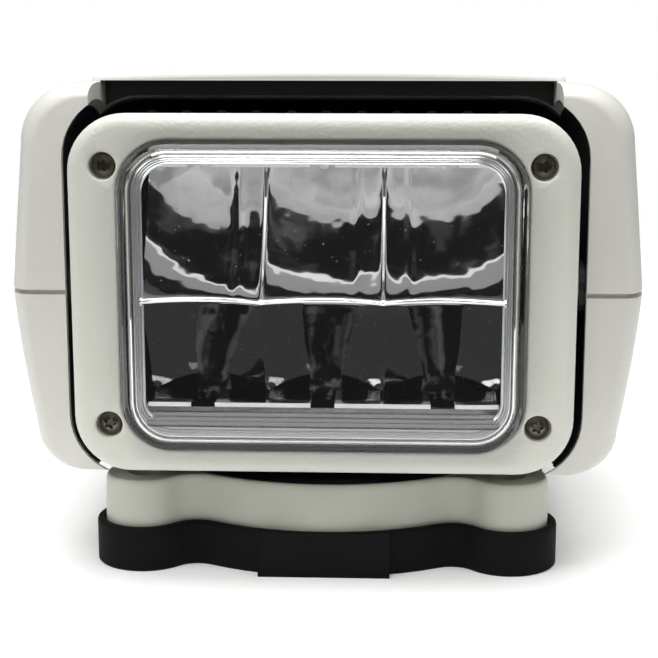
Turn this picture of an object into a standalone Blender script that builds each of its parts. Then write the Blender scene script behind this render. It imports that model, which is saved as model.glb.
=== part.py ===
"""Marine searchlight: a lobed deck base, a two-shell yoke that pans on it, and a
six-cell LED head that tilts inside the yoke. Blender 4.5, metres, +Z up, lamp facing -Y.

Sizes below are millimetres. The origin is on the pan axis, on the deck."""

import math

import bmesh
import bpy
from mathutils import Matrix, Vector

# Clearances
GAP = 0.3                    # between pieces that touch
RUN = 0.6                    # between pieces that turn past each other
SHAFT_RUN = 0.15             # radial play of a shaft in its bush
WELD = 0.002                 # points closer than this are one point

# Deck gasket and base housing
BASE_RADIUS = 75.0           # outer wall of the drum
LOBE_X, LOBE_Y = 60.6, 59.0  # centres of the four screw lobes
LOBE_RADIUS = 13.5
LOBE_FILLET = 11.0           # hollow fillet between lobe and drum
BASE_HEIGHT = 30.0           # deck to the top of the base
BASE_WALL = 4.0
BASE_EDGE = 2.4              # rounding of the top edge
GASKET_FLOOR = 2.5
GASKET_LIP = 2.8             # how far the gasket stands out round the base
GASKET_HEIGHT = 14.8
MOUNT_HOLE = 2.8             # radius of the deck screw holes
MOUNT_COUNTERBORE = 6.0
MOUNT_HEAD_DEPTH = 12.0      # depth of the counterbore below the base's top

# Base plate, pan bearing and slip ring
PLATE_THICK = 3.5
BOSS_RADIUS = 26.0           # boss that carries the ring gear and the pan bush
BUSH_WALL = 2.4
HUB_RADIUS = 20.0            # turntable hub that turns in the bush
HUB_WALL = 3.5
BOSS_TOP = 21.0
GLAND_Y = 46.0               # cable gland, behind the pan axis
GLAND_BORE = 3.6
CABLE_WINDOW = 10.2          # radius of the gasket's opening round the gland
PLATE_SCREW_CIRCLE = 62.0

# Turntable
TABLE_RADIUS = 72.5
TABLE_THICK = 3.4
PEDESTAL_RADIUS = 60.0
PEDESTAL_FRONT = -36.0       # the pedestal stops here, clear of the head

# Pan drive
PAN_MODULE = 1.5
PAN_RING_TEETH = 48
PAN_PINION_TEETH = 12
PAN_FACE = 6.0
PAN_MOTOR_RADIUS = 13.5
PAN_MOTOR_LENGTH = 46.0

# Yoke shells
SHELL_HALF = 102.5           # half width at the seam
SHELL_HALF_TOP = 98.2
SHELL_HALF_LOW = 96.0
SHELL_TOP = 159.5
SHELL_BOTTOM = 32.6
SHELL_FRONT = -71.0
SHELL_REAR = 92.5
SHELL_WALL = 2.6
TOP_CORNER, LOW_CORNER = 18.2, 13.5
SIDE_BULGE = 0.7             # fullness of the lower shell's side at half height
CROWN = 1.4                  # rise of the roof from the pods to the middle
FRONT_ROUND = 15.0           # how far back the rounded front edge reaches
SIDE_INSET, TOP_INSET, LOW_INSET = 6.5, 3.8, 1.0
ROOF_FALL = 4.0              # fall of the roof from the hood to the rear shoulder
SEAM_GAP = 1.6
TONGUE_HEIGHT = 3.0
TONGUE_INSET = 1.5
TONGUE_WALL = 1.0
SHELL_SCREWS = ((80.5, 13.6), (62.0, 62.0))
SHELL_POST = 4.2
SHELL_SCREW_HEAD = 2.9

# Hood
HOOD_HALF = 77.0
HOOD_MOUTH = 74.0
HOOD_FRONT = -49.0
HOOD_BACK = -40.0
HOOD_RISE = 2.4
HOOD_UNDER = 159.2           # underside of the hood
HOOD_REAR = 66.0             # where the raised roof panel dies away

# Head well
TILT_Y, TILT_Z = -59.0, 93.5
WELL_RADIUS = 63.0
WELL_HALF = 83.0
WELL_CORNER = 20.0
LINER_WALL = 1.7

# Head
HEAD_HALF_X, HEAD_HALF_Z = 78.8, 56.6
HEAD_CORNER = 18.0
HEAD_FRONT = -86.0
BEZEL_EDGE = 3.4
BEZEL_DEPTH = 15.0
BEZEL_WALL = 3.0
BEZEL_FACE = 3.0             # thickness of the front face
LENS_HALF_X, LENS_HALF_Z = 63.2, 48.8
LENS_CORNER = 16.0
LENS_PROUD = 6.5
LENS_WALL = 3.0
LENS_FLANGE = 3.0            # how far the flange reaches behind the bezel
LENS_FLANGE_THICK = 2.5
SCREW_X, SCREW_Z = 67.4, 40.8
SCREW_RECESS = 4.3
SCREW_HEAD = 3.7
SCREW_SHANK = 1.9

# Reflector cups and LEDs
COLUMNS, ROWS = 3, 2
CUP_HALF_X, CUP_HALF_Z = 18.9, 20.7
CUP_CORNER = 3.5
CUP_AXIS = 42.0              # axes of the half paraboloids, above and below the middle
CUP_VERTEX = -52.0
CUP_FOCUS = 17.0
ARRAY_FRONT, ARRAY_BACK = -82.6, -50.0
LED_BOARD_THICK = 1.6
LED_BOARD_FRONT, LED_BOARD_BACK = -76.5, -59.0

# Head housing with its finned half drum
FIN_RADIUS = 56.5
FIN_ROOT = 33.0
FIN_COUNT = 11
FIN_THICK = 2.4
DRUM_HALF = 62.0
DRUM_FRONT = -56.0

# Tilt shafts and gear train
AXLE_RADIUS = 6.0
AXLE_BORE = 2.6
TILT_BUSH_WALL = 2.0
BOSS_DISC = 8.5              # flange of the tilt bush
HUB_BOSS = 11.0              # boss of the head housing round each tilt shaft
TILT_MODULE = 1.0
SECTOR_TEETH, IDLER_A_TEETH, IDLER_B_TEETH, TILT_PINION_TEETH = 24, 40, 32, 12
SECTOR_FIRST, SECTOR_CUT = -2, 10   # first tooth and number of teeth that are cut
SECTOR_DISC = 8.6            # radius of the sector where it has no teeth
TILT_FACE = 4.0
GEAR_PLATE = 1.6
IDLER_PIN = 2.4
TILT_MOTOR_RADIUS = 12.0
TILT_MOTOR_LENGTH = 44.0
TILT_UP, TILT_DOWN = 90.0, 20.0

# Control board, on edge in two slotted ribs
BOARD_X = 42.0
BOARD_NEAR, BOARD_FAR = 12.0, 60.0

# Worked out from the sizes above
SEAM_Z = TILT_Z - 1.1
BASE_BOTTOM = GASKET_FLOOR + GAP
CAVITY_RADIUS = BASE_RADIUS - BASE_WALL
TABLE_BOTTOM = BASE_HEIGHT - TABLE_THICK
PLATE_TOP = BASE_BOTTOM + PLATE_THICK
PAN_MESH = PAN_MODULE * (PAN_RING_TEETH + PAN_PINION_TEETH) / 2
LENS_FRONT = HEAD_FRONT - LENS_PROUD
FLANGE_FRONT = HEAD_FRONT + BEZEL_FACE + GAP
FLANGE_BACK = FLANGE_FRONT + LENS_FLANGE_THICK
TRAY_FLOOR = ARRAY_BACK + GAP
BEZEL_BACK = HEAD_FRONT + BEZEL_DEPTH
GEAR_X = -(WELL_HALF + LINER_WALL + GAP + GEAR_PLATE + GAP)
IDLER_A_Y = TILT_Y + TILT_MODULE * (SECTOR_TEETH + IDLER_A_TEETH) / 2
IDLER_B_Y = IDLER_A_Y + TILT_MODULE * (IDLER_A_TEETH + IDLER_B_TEETH) / 2
TILT_PINION_Y = IDLER_B_Y + TILT_MODULE * (IDLER_B_TEETH + TILT_PINION_TEETH) / 2
AXES = {"X": Matrix.Rotation(math.pi / 2, 4, "Y"), "Y": Matrix.Rotation(-math.pi / 2, 4, "X"),
        "Z": Matrix.Identity(4)}


# Scene, materials and placing

def clear_scene():
    for thing in list(bpy.data.objects):
        bpy.data.objects.remove(thing, do_unlink=True)


def material(name, colour, roughness, metallic=0.0):
    made = bpy.data.materials.new(name)
    made.use_nodes = True
    shader = made.node_tree.nodes["Principled BSDF"]
    shader.inputs["Base Color"].default_value = (*colour, 1.0)
    shader.inputs["Roughness"].default_value = roughness
    shader.inputs["Metallic"].default_value = metallic
    made.diffuse_color = (*colour, 1.0)
    return made


def axis_empty(name, place, parent=None):
    empty = bpy.data.objects.new(name, None)
    empty.location = Vector(place) * 0.001
    empty.parent = parent
    bpy.context.collection.objects.link(empty)
    return empty


def add_piece(name, shape, finish, parent, pivot=(0, 0, 0)):
    """Name a finished shape, scale it to metres and hang it on its parent at the pivot."""
    shape.name = name
    shape.data.name = name
    shape.data.transform(Matrix.Translation(-Vector(pivot)))
    shape.data.transform(Matrix.Scale(0.001, 4))
    shape.data.materials.clear()
    shape.data.materials.append(finish)
    shape.data.shade_smooth()
    shape.data.set_sharp_from_angle(angle=math.radians(32))
    shape.parent = parent
    world = parent_place(parent)
    shape.location = Vector(pivot) * 0.001 - world
    return shape


def parent_place(parent):
    place = Vector((0, 0, 0))
    while parent is not None:
        place += parent.location
        parent = parent.parent
    return place


# Shapes: each returns an object in millimetres

def to_object(bm):
    bmesh.ops.recalc_face_normals(bm, faces=bm.faces)
    mesh = bpy.data.meshes.new("shape")
    bm.to_mesh(mesh)
    bm.free()
    shape = bpy.data.objects.new("shape", mesh)
    bpy.context.collection.objects.link(shape)
    return shape


def ring_of(bm, points):
    verts = [bm.verts.new(point) for point in points]
    return [bm.edges.new(pair) for pair in zip(verts, verts[1:] + verts[:1])]


def loft(rings):
    """A closed body through rings that have equal numbers of points."""
    bm = bmesh.new()
    loops = [ring_of(bm, ring) for ring in rings]
    for near, far in zip(loops, loops[1:]):
        for one, two in zip(near, far):
            bmesh.ops.contextual_create(bm, geom=[one, two])
    bmesh.ops.contextual_create(bm, geom=loops[0])
    bmesh.ops.contextual_create(bm, geom=loops[-1])
    return to_object(bm)


def prism(outline, low, high, axis="Z"):
    """An outline pushed out from low to high along an axis."""
    def place(u, v, w):
        return {"X": (w, u, v), "Y": (u, w, v), "Z": (u, v, w)}[axis]
    bm = bmesh.new()
    edges = ring_of(bm, [place(u, v, low) for u, v in outline])
    bmesh.ops.contextual_create(bm, geom=edges)
    pushed = bmesh.ops.extrude_face_region(bm, geom=bm.faces[:])
    moved = [item for item in pushed["geom"] if isinstance(item, bmesh.types.BMVert)]
    bmesh.ops.translate(bm, verts=moved, vec=place(0, 0, high - low))
    return to_object(bm)


def turned(profile, centre=(0, 0, 0), axis="Z", steps=32):
    """A body turned from (radius, distance along the axis) points."""
    bm = bmesh.new()
    verts = [bm.verts.new((radius, 0, along)) for radius, along in profile]
    edges = [bm.edges.new(pair) for pair in zip(verts, verts[1:])]
    if profile[0][0] > 0:
        edges.append(bm.edges.new((verts[-1], verts[0])))
    bmesh.ops.spin(bm, geom=verts + edges, cent=(0, 0, 0), axis=(0, 0, 1), angle=2 * math.pi,
                   steps=steps, use_merge=True)
    bmesh.ops.remove_doubles(bm, verts=bm.verts, dist=1e-4)
    bmesh.ops.transform(bm, matrix=Matrix.Translation(centre) @ AXES[axis], verts=bm.verts)
    return to_object(bm)


def rod(radius, low, high, centre=(0, 0, 0), axis="Z", steps=16):
    return turned([(0, low), (radius, low), (radius, high), (0, high)], centre, axis, steps)


def tube(inner, outer, low, high, centre=(0, 0, 0), axis="Z", steps=24):
    return turned([(inner, low), (outer, low), (outer, high), (inner, high)], centre, axis, steps)


def stepped_hole(wide, narrow, low, step, high, centre, axis="Z", steps=16):
    """Cutter for a screw hole that is wide up to the step and narrow beyond it."""
    profile = [(0, low), (wide, low), (wide, step), (narrow, step), (narrow, high), (0, high)]
    return turned(profile, centre, axis, steps)


def box(low, high):
    bm = bmesh.new()
    bmesh.ops.create_cube(bm, size=1.0)
    size = [high[k] - low[k] for k in range(3)]
    middle = [(high[k] + low[k]) / 2 for k in range(3)]
    bmesh.ops.transform(bm, matrix=Matrix.Translation(middle) @ Matrix.Diagonal((*size, 1)),
                        verts=bm.verts)
    return to_object(bm)


def combine(target, tool, operation):
    """Cut, join or intersect with a tool, then take the tool away."""
    step = target.modifiers.new("shape", "BOOLEAN")
    step.operation = operation
    step.solver = "EXACT"
    step.object = tool
    bpy.context.view_layer.update()
    graph = bpy.context.evaluated_depsgraph_get()
    result = bpy.data.meshes.new_from_object(target.evaluated_get(graph))
    target.modifiers.remove(step)
    target.data = result
    bm = bmesh.new()
    bm.from_mesh(result)
    bmesh.ops.remove_doubles(bm, verts=bm.verts, dist=WELD)
    bmesh.ops.dissolve_degenerate(bm, edges=bm.edges, dist=WELD)
    bm.to_mesh(result)
    bm.free()
    bpy.data.objects.remove(tool, do_unlink=True)
    return target


def cut(target, *tools):
    for tool in tools:
        combine(target, tool, "DIFFERENCE")
    return target


def join(target, *tools):
    for tool in tools:
        combine(target, tool, "UNION")
    return target


# Outlines

def arc(centre, radius, start, end, steps):
    angles = [math.radians(start + (end - start) * k / steps) for k in range(steps + 1)]
    return [(centre[0] + radius * math.cos(a), centre[1] + radius * math.sin(a)) for a in angles]


def rounded_rect(half_x, half_y, corner, steps=6, centre=(0, 0)):
    points = []
    for k, (side_x, side_y) in enumerate(((1, 1), (-1, 1), (-1, -1), (1, -1))):
        middle = (centre[0] + side_x * (half_x - corner), centre[1] + side_y * (half_y - corner))
        points += arc(middle, corner, 90 * k, 90 * k + 90, steps)
    return points


def angle_between(near, other, opposite):
    """Angle in degrees between two sides of a triangle, from its three sides."""
    return math.degrees(math.acos((near ** 2 + other ** 2 - opposite ** 2) / (2 * near * other)))


def lobed_outline(inset, steps=4):
    """Drum with four lobes and hollow fillets, pulled in everywhere by the inset."""
    drum, lobe, fillet = BASE_RADIUS - inset, LOBE_RADIUS - inset, LOBE_FILLET + inset
    reach = math.hypot(LOBE_X, LOBE_Y)
    lobe_angle = math.degrees(math.atan2(LOBE_Y, LOBE_X))
    drum_side, lobe_side = drum + fillet, lobe + fillet
    swing = angle_between(reach, drum_side, lobe_side)
    corner = angle_between(reach, lobe_side, drum_side)
    turn = 180 - swing - corner
    quarter = []
    for side in (-1, 1):
        hollow = lobe_angle + side * swing
        towards = math.radians(hollow)
        middle = (drum_side * math.cos(towards), drum_side * math.sin(towards))
        curve = arc(middle, fillet, hollow + 180, hollow + 180 + side * turn, steps)
        quarter.append(curve if side < 0 else curve[::-1])
    half = 180 - corner
    tip = arc((LOBE_X, LOBE_Y), lobe, lobe_angle - half, lobe_angle + half, 2 * steps)
    first = quarter[0] + tip[1:-1] + quarter[1]
    points = []
    for k, (side_x, side_y) in enumerate(((1, 1), (-1, 1), (-1, -1), (1, -1))):
        ordered = first if k % 2 == 0 else first[::-1]
        turned_quarter = [(side_x * x, side_y * y) for x, y in ordered]
        start_x, start_y = turned_quarter[-1]
        points += turned_quarter
        begin = math.degrees(math.atan2(start_y, start_x))
        sweep = 2 * abs((begin - 90 * (k + 1) + 180) % 360 - 180)
        points += arc((0, 0), drum, begin, begin + sweep, 6)[1:-1]
    return points


def gear_outline(teeth, module, tooth_at, first=0, count=None, root_disc=None):
    """Gear teeth with straight flanks; a tooth's middle lies at the angle tooth_at, in degrees."""
    pitch = module * teeth / 2
    tip, root = pitch + 0.85 * module, pitch - 1.15 * module
    step = 360 / teeth
    made = count if count is not None else teeth
    points = []
    for k in range(first, first + made):
        middle = tooth_at + k * step
        for radius, share in ((root, -0.33), (tip, -0.13), (tip, 0.13), (root, 0.33)):
            angle = math.radians(middle + share * step)
            points.append((radius * math.cos(angle), radius * math.sin(angle)))
    if count is not None:
        start = tooth_at + (first - 0.5) * step
        end = tooth_at + (first + made - 0.5) * step
        points += arc((0, 0), root_disc, end, start + 360, 14)
    return points


def drop_to(outline, centre):
    return [(u + centre[0], v + centre[1]) for u, v in outline]


# Yoke shell form

def fade(y, start, least, power):
    """1 before start, falling on a super-ellipse to least at the rear."""
    if y <= start:
        return 1.0
    reach = min((y - start) / (SHELL_REAR - start), 1.0)
    return least + (1 - least) * (1 - reach ** power) ** (1 / power)


def shell_sizes(y):
    """Half widths at seam, roof and floor, and the roof and floor heights, of the outer form at y."""
    front = max(0.0, min(1.0, (SHELL_FRONT + FRONT_ROUND - y) / FRONT_ROUND))
    pull = 1 - math.sqrt(max(0.0, 1 - front ** 2))
    wide = fade(y, 18, 0.42, 2.5)
    tall = fade(y, 10, 0.30, 2.3)
    deep = fade(y, 66, 0.40, 2.2)
    fall = ROOF_FALL * max(0.0, y - HOOD_BACK) / (18 - HOOD_BACK)
    roof = SHELL_TOP - min(fall, ROOF_FALL * 1.6) - TOP_INSET * pull
    top = SEAM_Z + (roof - SEAM_Z) * tall
    floor = SEAM_Z - (SEAM_Z - SHELL_BOTTOM) * deep + LOW_INSET * pull
    side = SIDE_INSET * pull
    halves = [half * wide - side for half in (SHELL_HALF, SHELL_HALF_TOP, SHELL_HALF_LOW)]
    return *halves, top, floor


def shell_ring(y, inset, at=None):
    """One section of the shell, pulled in by the inset; at is where the section is placed."""
    seam, roof_half, low_half, top, floor = shell_sizes(y)
    seam, roof_half, low_half = seam - inset, roof_half - inset, low_half - inset
    top, floor = top - inset, floor + inset
    upper = min(TOP_CORNER - inset, 0.8 * (top - SEAM_Z), 0.8 * roof_half)
    lower = min(LOW_CORNER - inset, 0.8 * (SEAM_Z - floor), 0.8 * low_half)
    side = arc((low_half - lower, floor + lower), lower, -90, 0, 4)
    side.append(((low_half + seam) / 2 + SIDE_BULGE, (floor + lower + SEAM_Z) / 2))
    side.append((seam, SEAM_Z))
    side += arc((roof_half - upper, top - CROWN - upper), upper, 0, 90, 5)
    side.append((0.5 * (roof_half - upper), top - 0.3 * CROWN))
    outline = side + [(0, top)] + [(-x, z) for x, z in reversed(side)] + [(0, floor)]
    place = y if at is None else at
    return [(x, place, z) for x, z in outline]


def shell_stations():
    front = [SHELL_FRONT + FRONT_ROUND * (1 - math.sin(math.radians(a))) for a in (90, 62, 34, 0)]
    return front + [HOOD_BACK - 4, 10, 32, 50, 66, 79, 88, SHELL_REAR]


def shell_body(inset=0.0):
    """The whole yoke form, or with an inset the hollow inside it."""
    middle = (SHELL_FRONT + SHELL_REAR) / 2
    shrink = 1 - 2 * inset / (SHELL_REAR - SHELL_FRONT)
    rings = [shell_ring(y, inset, middle + (y - middle) * shrink) for y in shell_stations()]
    return loft(rings)


def seam_outline(inset):
    """Plan outline of the shell at the seam."""
    middle = (SHELL_FRONT + SHELL_REAR) / 2
    shrink = 1 - 2 * inset / (SHELL_REAR - SHELL_FRONT)
    side = [(shell_sizes(y)[0] - inset, middle + (y - middle) * shrink) for y in shell_stations()]
    return side + [(-x, y) for x, y in reversed(side)]


def well_body(grow=0.0):
    """The space that the tilting head sweeps, turned about the tilt axis."""
    radius, half, corner = WELL_RADIUS + grow, WELL_HALF + grow, WELL_CORNER + grow
    side = arc((radius - corner, half - corner), corner, 90, 0, 4)
    profile = [(0, half)] + side + [(r, -x) for r, x in reversed(side)] + [(0, -half)]
    return turned(profile, (0, TILT_Y, TILT_Z), "X", 26)


def hood_panel():
    """Raised roof panel whose front edge is the hood over the head."""
    rings = []
    for share in (0.0, 0.18, 0.4, 0.6, 0.8, 1.0):
        y = HOOD_FRONT + (HOOD_REAR - HOOD_FRONT) * share
        top = shell_sizes(y)[3] + HOOD_RISE * (1 - share ** 3) - 0.6 * share
        half = (HOOD_HALF - 20 * share ** 3) * fade(y, 18, 0.42, 2.5)
        foot = top - 9
        side = [(half, foot)] + arc((half - 2, top - CROWN - 2), 2, 0, 90, 3)
        side.append((0.5 * half, top - 0.3 * CROWN))
        outline = side + [(0, top)] + [(-x, z) for x, z in reversed(side)]
        rings.append([(x, y, z) for x, z in outline])
    return loft(rings)


# Pieces of the base

def base_pieces(finishes, root):
    lip = lobed_outline(-GASKET_LIP)
    tray = prism(lip, 0, GASKET_HEIGHT)
    pad_half, pad_front = 21.5, BASE_RADIUS + GASKET_LIP + 0.5
    for side in (-1, 1):
        reach = sorted((side * (BASE_RADIUS - 6), side * pad_front))
        join(tray, box((-pad_half, reach[0], 0), (pad_half, reach[1], GASKET_HEIGHT - 0.4)))
    cut(tray, prism(lobed_outline(-GAP), GASKET_FLOOR, GASKET_HEIGHT + 5))
    cut(tray, rod(CABLE_WINDOW, -1, 6, (0, GLAND_Y, 0), steps=20))
    for x, y in lobe_places():
        cut(tray, rod(MOUNT_HOLE, -1, 6, (x, y, 0), steps=16))
    add_piece("mounting_gasket", tray, finishes["rubber"], root)

    levels = ((BASE_BOTTOM, 0.0), (BASE_HEIGHT - BASE_EDGE, 0.5),
              (BASE_HEIGHT - 0.3 * BASE_EDGE, 0.5 + 0.3 * BASE_EDGE), (BASE_HEIGHT, 0.5 + BASE_EDGE))
    levels = [(z, min(inset, BASE_RADIUS - TABLE_RADIUS - RUN - 0.4)) for z, inset in levels]
    housing = loft([[(x, y, z) for x, y in lobed_outline(inset)] for z, inset in levels])
    mouth = TABLE_RADIUS + RUN
    ledge = TABLE_BOTTOM - GAP - 2.2
    hollow = [(0, BASE_BOTTOM - 5), (CAVITY_RADIUS, BASE_BOTTOM - 5), (CAVITY_RADIUS, ledge - 2.5),
              (CAVITY_RADIUS - 4, ledge - 2.5), (CAVITY_RADIUS - 4, ledge), (mouth, ledge),
              (mouth, BASE_HEIGHT + 5), (0, BASE_HEIGHT + 5)]
    cut(housing, turned(hollow, steps=36))
    for x, y in screw_circle():
        join(housing, rod(5.5, PLATE_TOP + GAP, ledge - 1, (x, y, 0), steps=16))
        cut(housing, rod(1.8, PLATE_TOP - 1, PLATE_TOP + 10, (x, y, 0), steps=12))
    step = BASE_HEIGHT - MOUNT_HEAD_DEPTH
    for x, y in lobe_places():
        cut(housing, stepped_hole(MOUNT_COUNTERBORE, MOUNT_HOLE, BASE_HEIGHT + 5, step, BASE_BOTTOM - 5,
                                  (x, y, 0)))
    add_piece("base_housing", housing, finishes["white"], root)

    hub_top = TABLE_BOTTOM - GAP
    ring_low, ring_high = BOSS_TOP - PAN_FACE, BOSS_TOP
    seat = HUB_RADIUS + BUSH_WALL + GAP
    profile = [(0, BASE_BOTTOM), (CAVITY_RADIUS - GAP, BASE_BOTTOM), (CAVITY_RADIUS - GAP, PLATE_TOP),
               (BOSS_RADIUS + 6, PLATE_TOP), (BOSS_RADIUS + 6, ring_low - GAP),
               (BOSS_RADIUS, ring_low - GAP), (BOSS_RADIUS, BOSS_TOP), (seat, BOSS_TOP),
               (seat, PLATE_TOP), (0, PLATE_TOP)]
    plate = turned(profile, steps=28)
    for x, y in screw_circle():
        cut(plate, stepped_hole(3.6 + GAP, 1.5 + GAP, 0, BASE_BOTTOM + 2, 12, (x, y, 0), steps=12))
    cut(plate, rod(GLAND_BORE + 2.4 + GAP, 0, 12, (0, GLAND_Y, 0)))
    add_piece("base_plate", plate, finishes["cast"], root)
    for k, (x, y) in enumerate(screw_circle()):
        profile = [(0, BASE_BOTTOM + 0.2), (3.6, BASE_BOTTOM + 0.2), (3.6, BASE_BOTTOM + 2 - GAP),
                   (1.5, BASE_BOTTOM + 2 - GAP), (1.5, PLATE_TOP + 9), (0, PLATE_TOP + 9)]
        screw = turned(profile, (x, y, 0), steps=8)
        add_piece(f"base_plate_screw_{k + 1}", screw, finishes["steel"], root)

    stem = GLAND_BORE + 2.4
    profile = [(GLAND_BORE, 0.6), (GLAND_BORE + 4, 0.6), (GLAND_BORE + 4, BASE_BOTTOM - GAP),
               (stem, BASE_BOTTOM - GAP), (stem, PLATE_TOP + 6), (GLAND_BORE, PLATE_TOP + 6)]
    gland = turned(profile, (0, GLAND_Y, 0), steps=24)
    add_piece("cable_gland", gland, finishes["black"], root)
    nut = prism(drop_to(arc((0, 0), 8.4, 0, 300, 5), (0, GLAND_Y)), PLATE_TOP + GAP, PLATE_TOP + 4)
    cut(nut, rod(GLAND_BORE + 2.4 + GAP, 0, 20, (0, GLAND_Y, 0)))
    add_piece("cable_gland_nut", nut, finishes["black"], root)

    inner, outer = HUB_RADIUS + SHAFT_RUN, HUB_RADIUS + BUSH_WALL
    profile = [(inner, PLATE_TOP + GAP), (outer, PLATE_TOP + GAP), (outer, BOSS_TOP + GAP),
               (BOSS_RADIUS - 1, BOSS_TOP + GAP), (BOSS_RADIUS - 1, BOSS_TOP + 2.2),
               (inner, BOSS_TOP + 2.2)]
    bush = turned(profile, steps=32)
    add_piece("pan_bush", bush, finishes["bronze"], root)

    ring = prism(gear_outline(PAN_RING_TEETH, PAN_MODULE, 90), ring_low, ring_high)
    cut(ring, rod(BOSS_RADIUS + GAP + 0.2, ring_low - 2, ring_high + 2, steps=24))
    add_piece("pan_ring_gear", ring, finishes["nylon"], root)

    profile = [(0, PLATE_TOP + GAP), (10, PLATE_TOP + GAP), (10, PLATE_TOP + 7), (7, PLATE_TOP + 7),
               (7, PLATE_TOP + 10), (0, PLATE_TOP + 10)]
    stator = turned(profile, steps=24)
    add_piece("slip_ring_stator", stator, finishes["nylon"], root)

    seal = tube(CAVITY_RADIUS - 3.4, TABLE_RADIUS - 0.4, ledge + GAP, hub_top, steps=28)
    add_piece("pan_seal", seal, finishes["rubber"], root)


def lobe_places():
    return [(side_x * LOBE_X, side_y * LOBE_Y) for side_x in (-1, 1) for side_y in (-1, 1)]


def screw_circle():
    angles = [math.radians(45 + 90 * k) for k in range(4)]
    return [(PLATE_SCREW_CIRCLE * math.cos(a), PLATE_SCREW_CIRCLE * math.sin(a)) for a in angles]


# Pieces of the yoke

def yoke_pieces(finishes, pan):
    pedestal_top = SHELL_BOTTOM - GAP
    hub_bore = HUB_RADIUS - HUB_WALL
    profile = [(hub_bore, PLATE_TOP + 12), (HUB_RADIUS, PLATE_TOP + 12), (HUB_RADIUS, TABLE_BOTTOM),
               (TABLE_RADIUS, TABLE_BOTTOM), (TABLE_RADIUS, BASE_HEIGHT), (PEDESTAL_RADIUS, BASE_HEIGHT),
               (PEDESTAL_RADIUS, pedestal_top), (hub_bore, pedestal_top)]
    table = turned(profile, steps=36)
    cut(table, box((-90, -90, BASE_HEIGHT), (90, PEDESTAL_FRONT, 60)))
    pinion_clear = PAN_MODULE * PAN_PINION_TEETH / 2 + PAN_MODULE + RUN
    cut(table, rod(pinion_clear, 0, 60, (0, PAN_MESH, 0), steps=24))
    add_piece("turntable", table, finishes["black"], pan)

    outer = shell_body()
    lower = cut(outer, shell_body(SHELL_WALL))
    cut(lower, box((-200, -200, SEAM_Z - SEAM_GAP / 2), (200, 200, 400)))
    tongue = prism(seam_outline(TONGUE_INSET), SEAM_Z - SEAM_GAP - 1.2, SEAM_Z + TONGUE_HEIGHT)
    cut(tongue, prism(seam_outline(TONGUE_INSET + TONGUE_WALL), 0, 200))
    join(lower, tongue)
    for x, y in shell_screw_places():
        join(lower, rod(SHELL_POST, SHELL_BOTTOM + 1, SEAM_Z - 2, (x, y, 0), steps=12))
        cut(lower, stepped_hole(SHELL_SCREW_HEAD + GAP, 1.5 + GAP, 0, SHELL_BOTTOM + 4, 200, (x, y, 0),
                                steps=12))
    for y in (BOARD_NEAR, BOARD_FAR - 4):
        join(lower, box((BOARD_X - 3, y, SHELL_BOTTOM + 1), (BOARD_X + 3, y + 4, 60)))
    slot = box((BOARD_X - 1.1, BOARD_NEAR + 1, SHELL_BOTTOM + 4.6), (BOARD_X + 1.1, BOARD_FAR - 1, 70))
    cut(lower, slot)
    cut(lower, rod(hub_bore, 0, 60, steps=32), rod(pinion_clear, 0, 60, (0, PAN_MESH, 0), steps=24))
    cut(lower, well_body(), liner_pocket())
    add_piece("lower_shell", lower, finishes["white"], pan)

    upper = join(shell_body(), hood_panel())
    hollow = shell_body(SHELL_WALL)
    guard = HOOD_MOUTH + SHELL_WALL
    cut(hollow, box((-guard, -200, 120), (guard, HOOD_BACK + SHELL_WALL, 400)))
    cut(upper, hollow, box((-200, -200, -100), (200, 200, SEAM_Z + SEAM_GAP / 2)))
    rabbet = prism(seam_outline(TONGUE_INSET - GAP), 0, SEAM_Z + TONGUE_HEIGHT + GAP)
    cut(upper, rabbet)
    for x, y in shell_screw_places():
        post = rod(SHELL_POST, SEAM_Z - 1.5, 200, (x, y, 0), steps=12)
        join(upper, combine(post, shell_body(SHELL_WALL - 0.5), "INTERSECT"))
        cut(upper, rod(1.5 + GAP, 0, SEAM_Z + 16, (x, y, 0), steps=8))
    cut(upper, well_body(), liner_pocket())
    mouth = [(-200, 110), (HOOD_BACK, 110), (HOOD_BACK, HOOD_UNDER), (HOOD_FRONT + GAP, HOOD_UNDER),
             (HOOD_FRONT + GAP, 400), (-200, 400)]
    cut(upper, prism(mouth, -HOOD_MOUTH, HOOD_MOUTH, "X"))
    add_piece("upper_shell", upper, finishes["white"], pan)

    liner = cut(well_body(LINER_WALL), well_body())
    cut(liner, box((-200, -200, 0), (200, SHELL_FRONT + SHELL_WALL + GAP, 300)))
    cut(liner, box((-200, -200, -10), (200, 200, SHELL_BOTTOM + SHELL_WALL + GAP)))
    cut(liner, box((-200, -200, SHELL_TOP - SHELL_WALL - GAP), (200, 200, 300)))
    guard = HOOD_MOUTH + SHELL_WALL + GAP
    cut(liner, box((-guard, -200, 120), (guard, HOOD_BACK + SHELL_WALL + GAP, 300)))
    cut(liner, rod(AXLE_RADIUS + TILT_BUSH_WALL + GAP, -120, 120, (0, TILT_Y, TILT_Z), "X", 20))
    add_piece("head_well_liner", liner, finishes["black"], pan)

    bore, sleeve = AXLE_RADIUS + SHAFT_RUN, AXLE_RADIUS + TILT_BUSH_WALL
    flange = WELL_HALF - 1.6 - GAP
    end = WELL_HALF + LINER_WALL + GAP + GEAR_PLATE
    profile = [(bore, flange), (BOSS_DISC, flange), (BOSS_DISC, WELL_HALF - GAP), (sleeve, WELL_HALF - GAP),
               (sleeve, end), (bore, end)]
    for name, side in (("tilt_bush_left", -1), ("tilt_bush_right", 1)):
        bush = turned(profile, (0, TILT_Y, TILT_Z), "X", 20)
        if side < 0:
            bush.data.transform(Matrix.Diagonal((-1, 1, 1, 1)))
            bush.data.flip_normals()
        add_piece(name, bush, finishes["nylon_grey"], pan)

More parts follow.
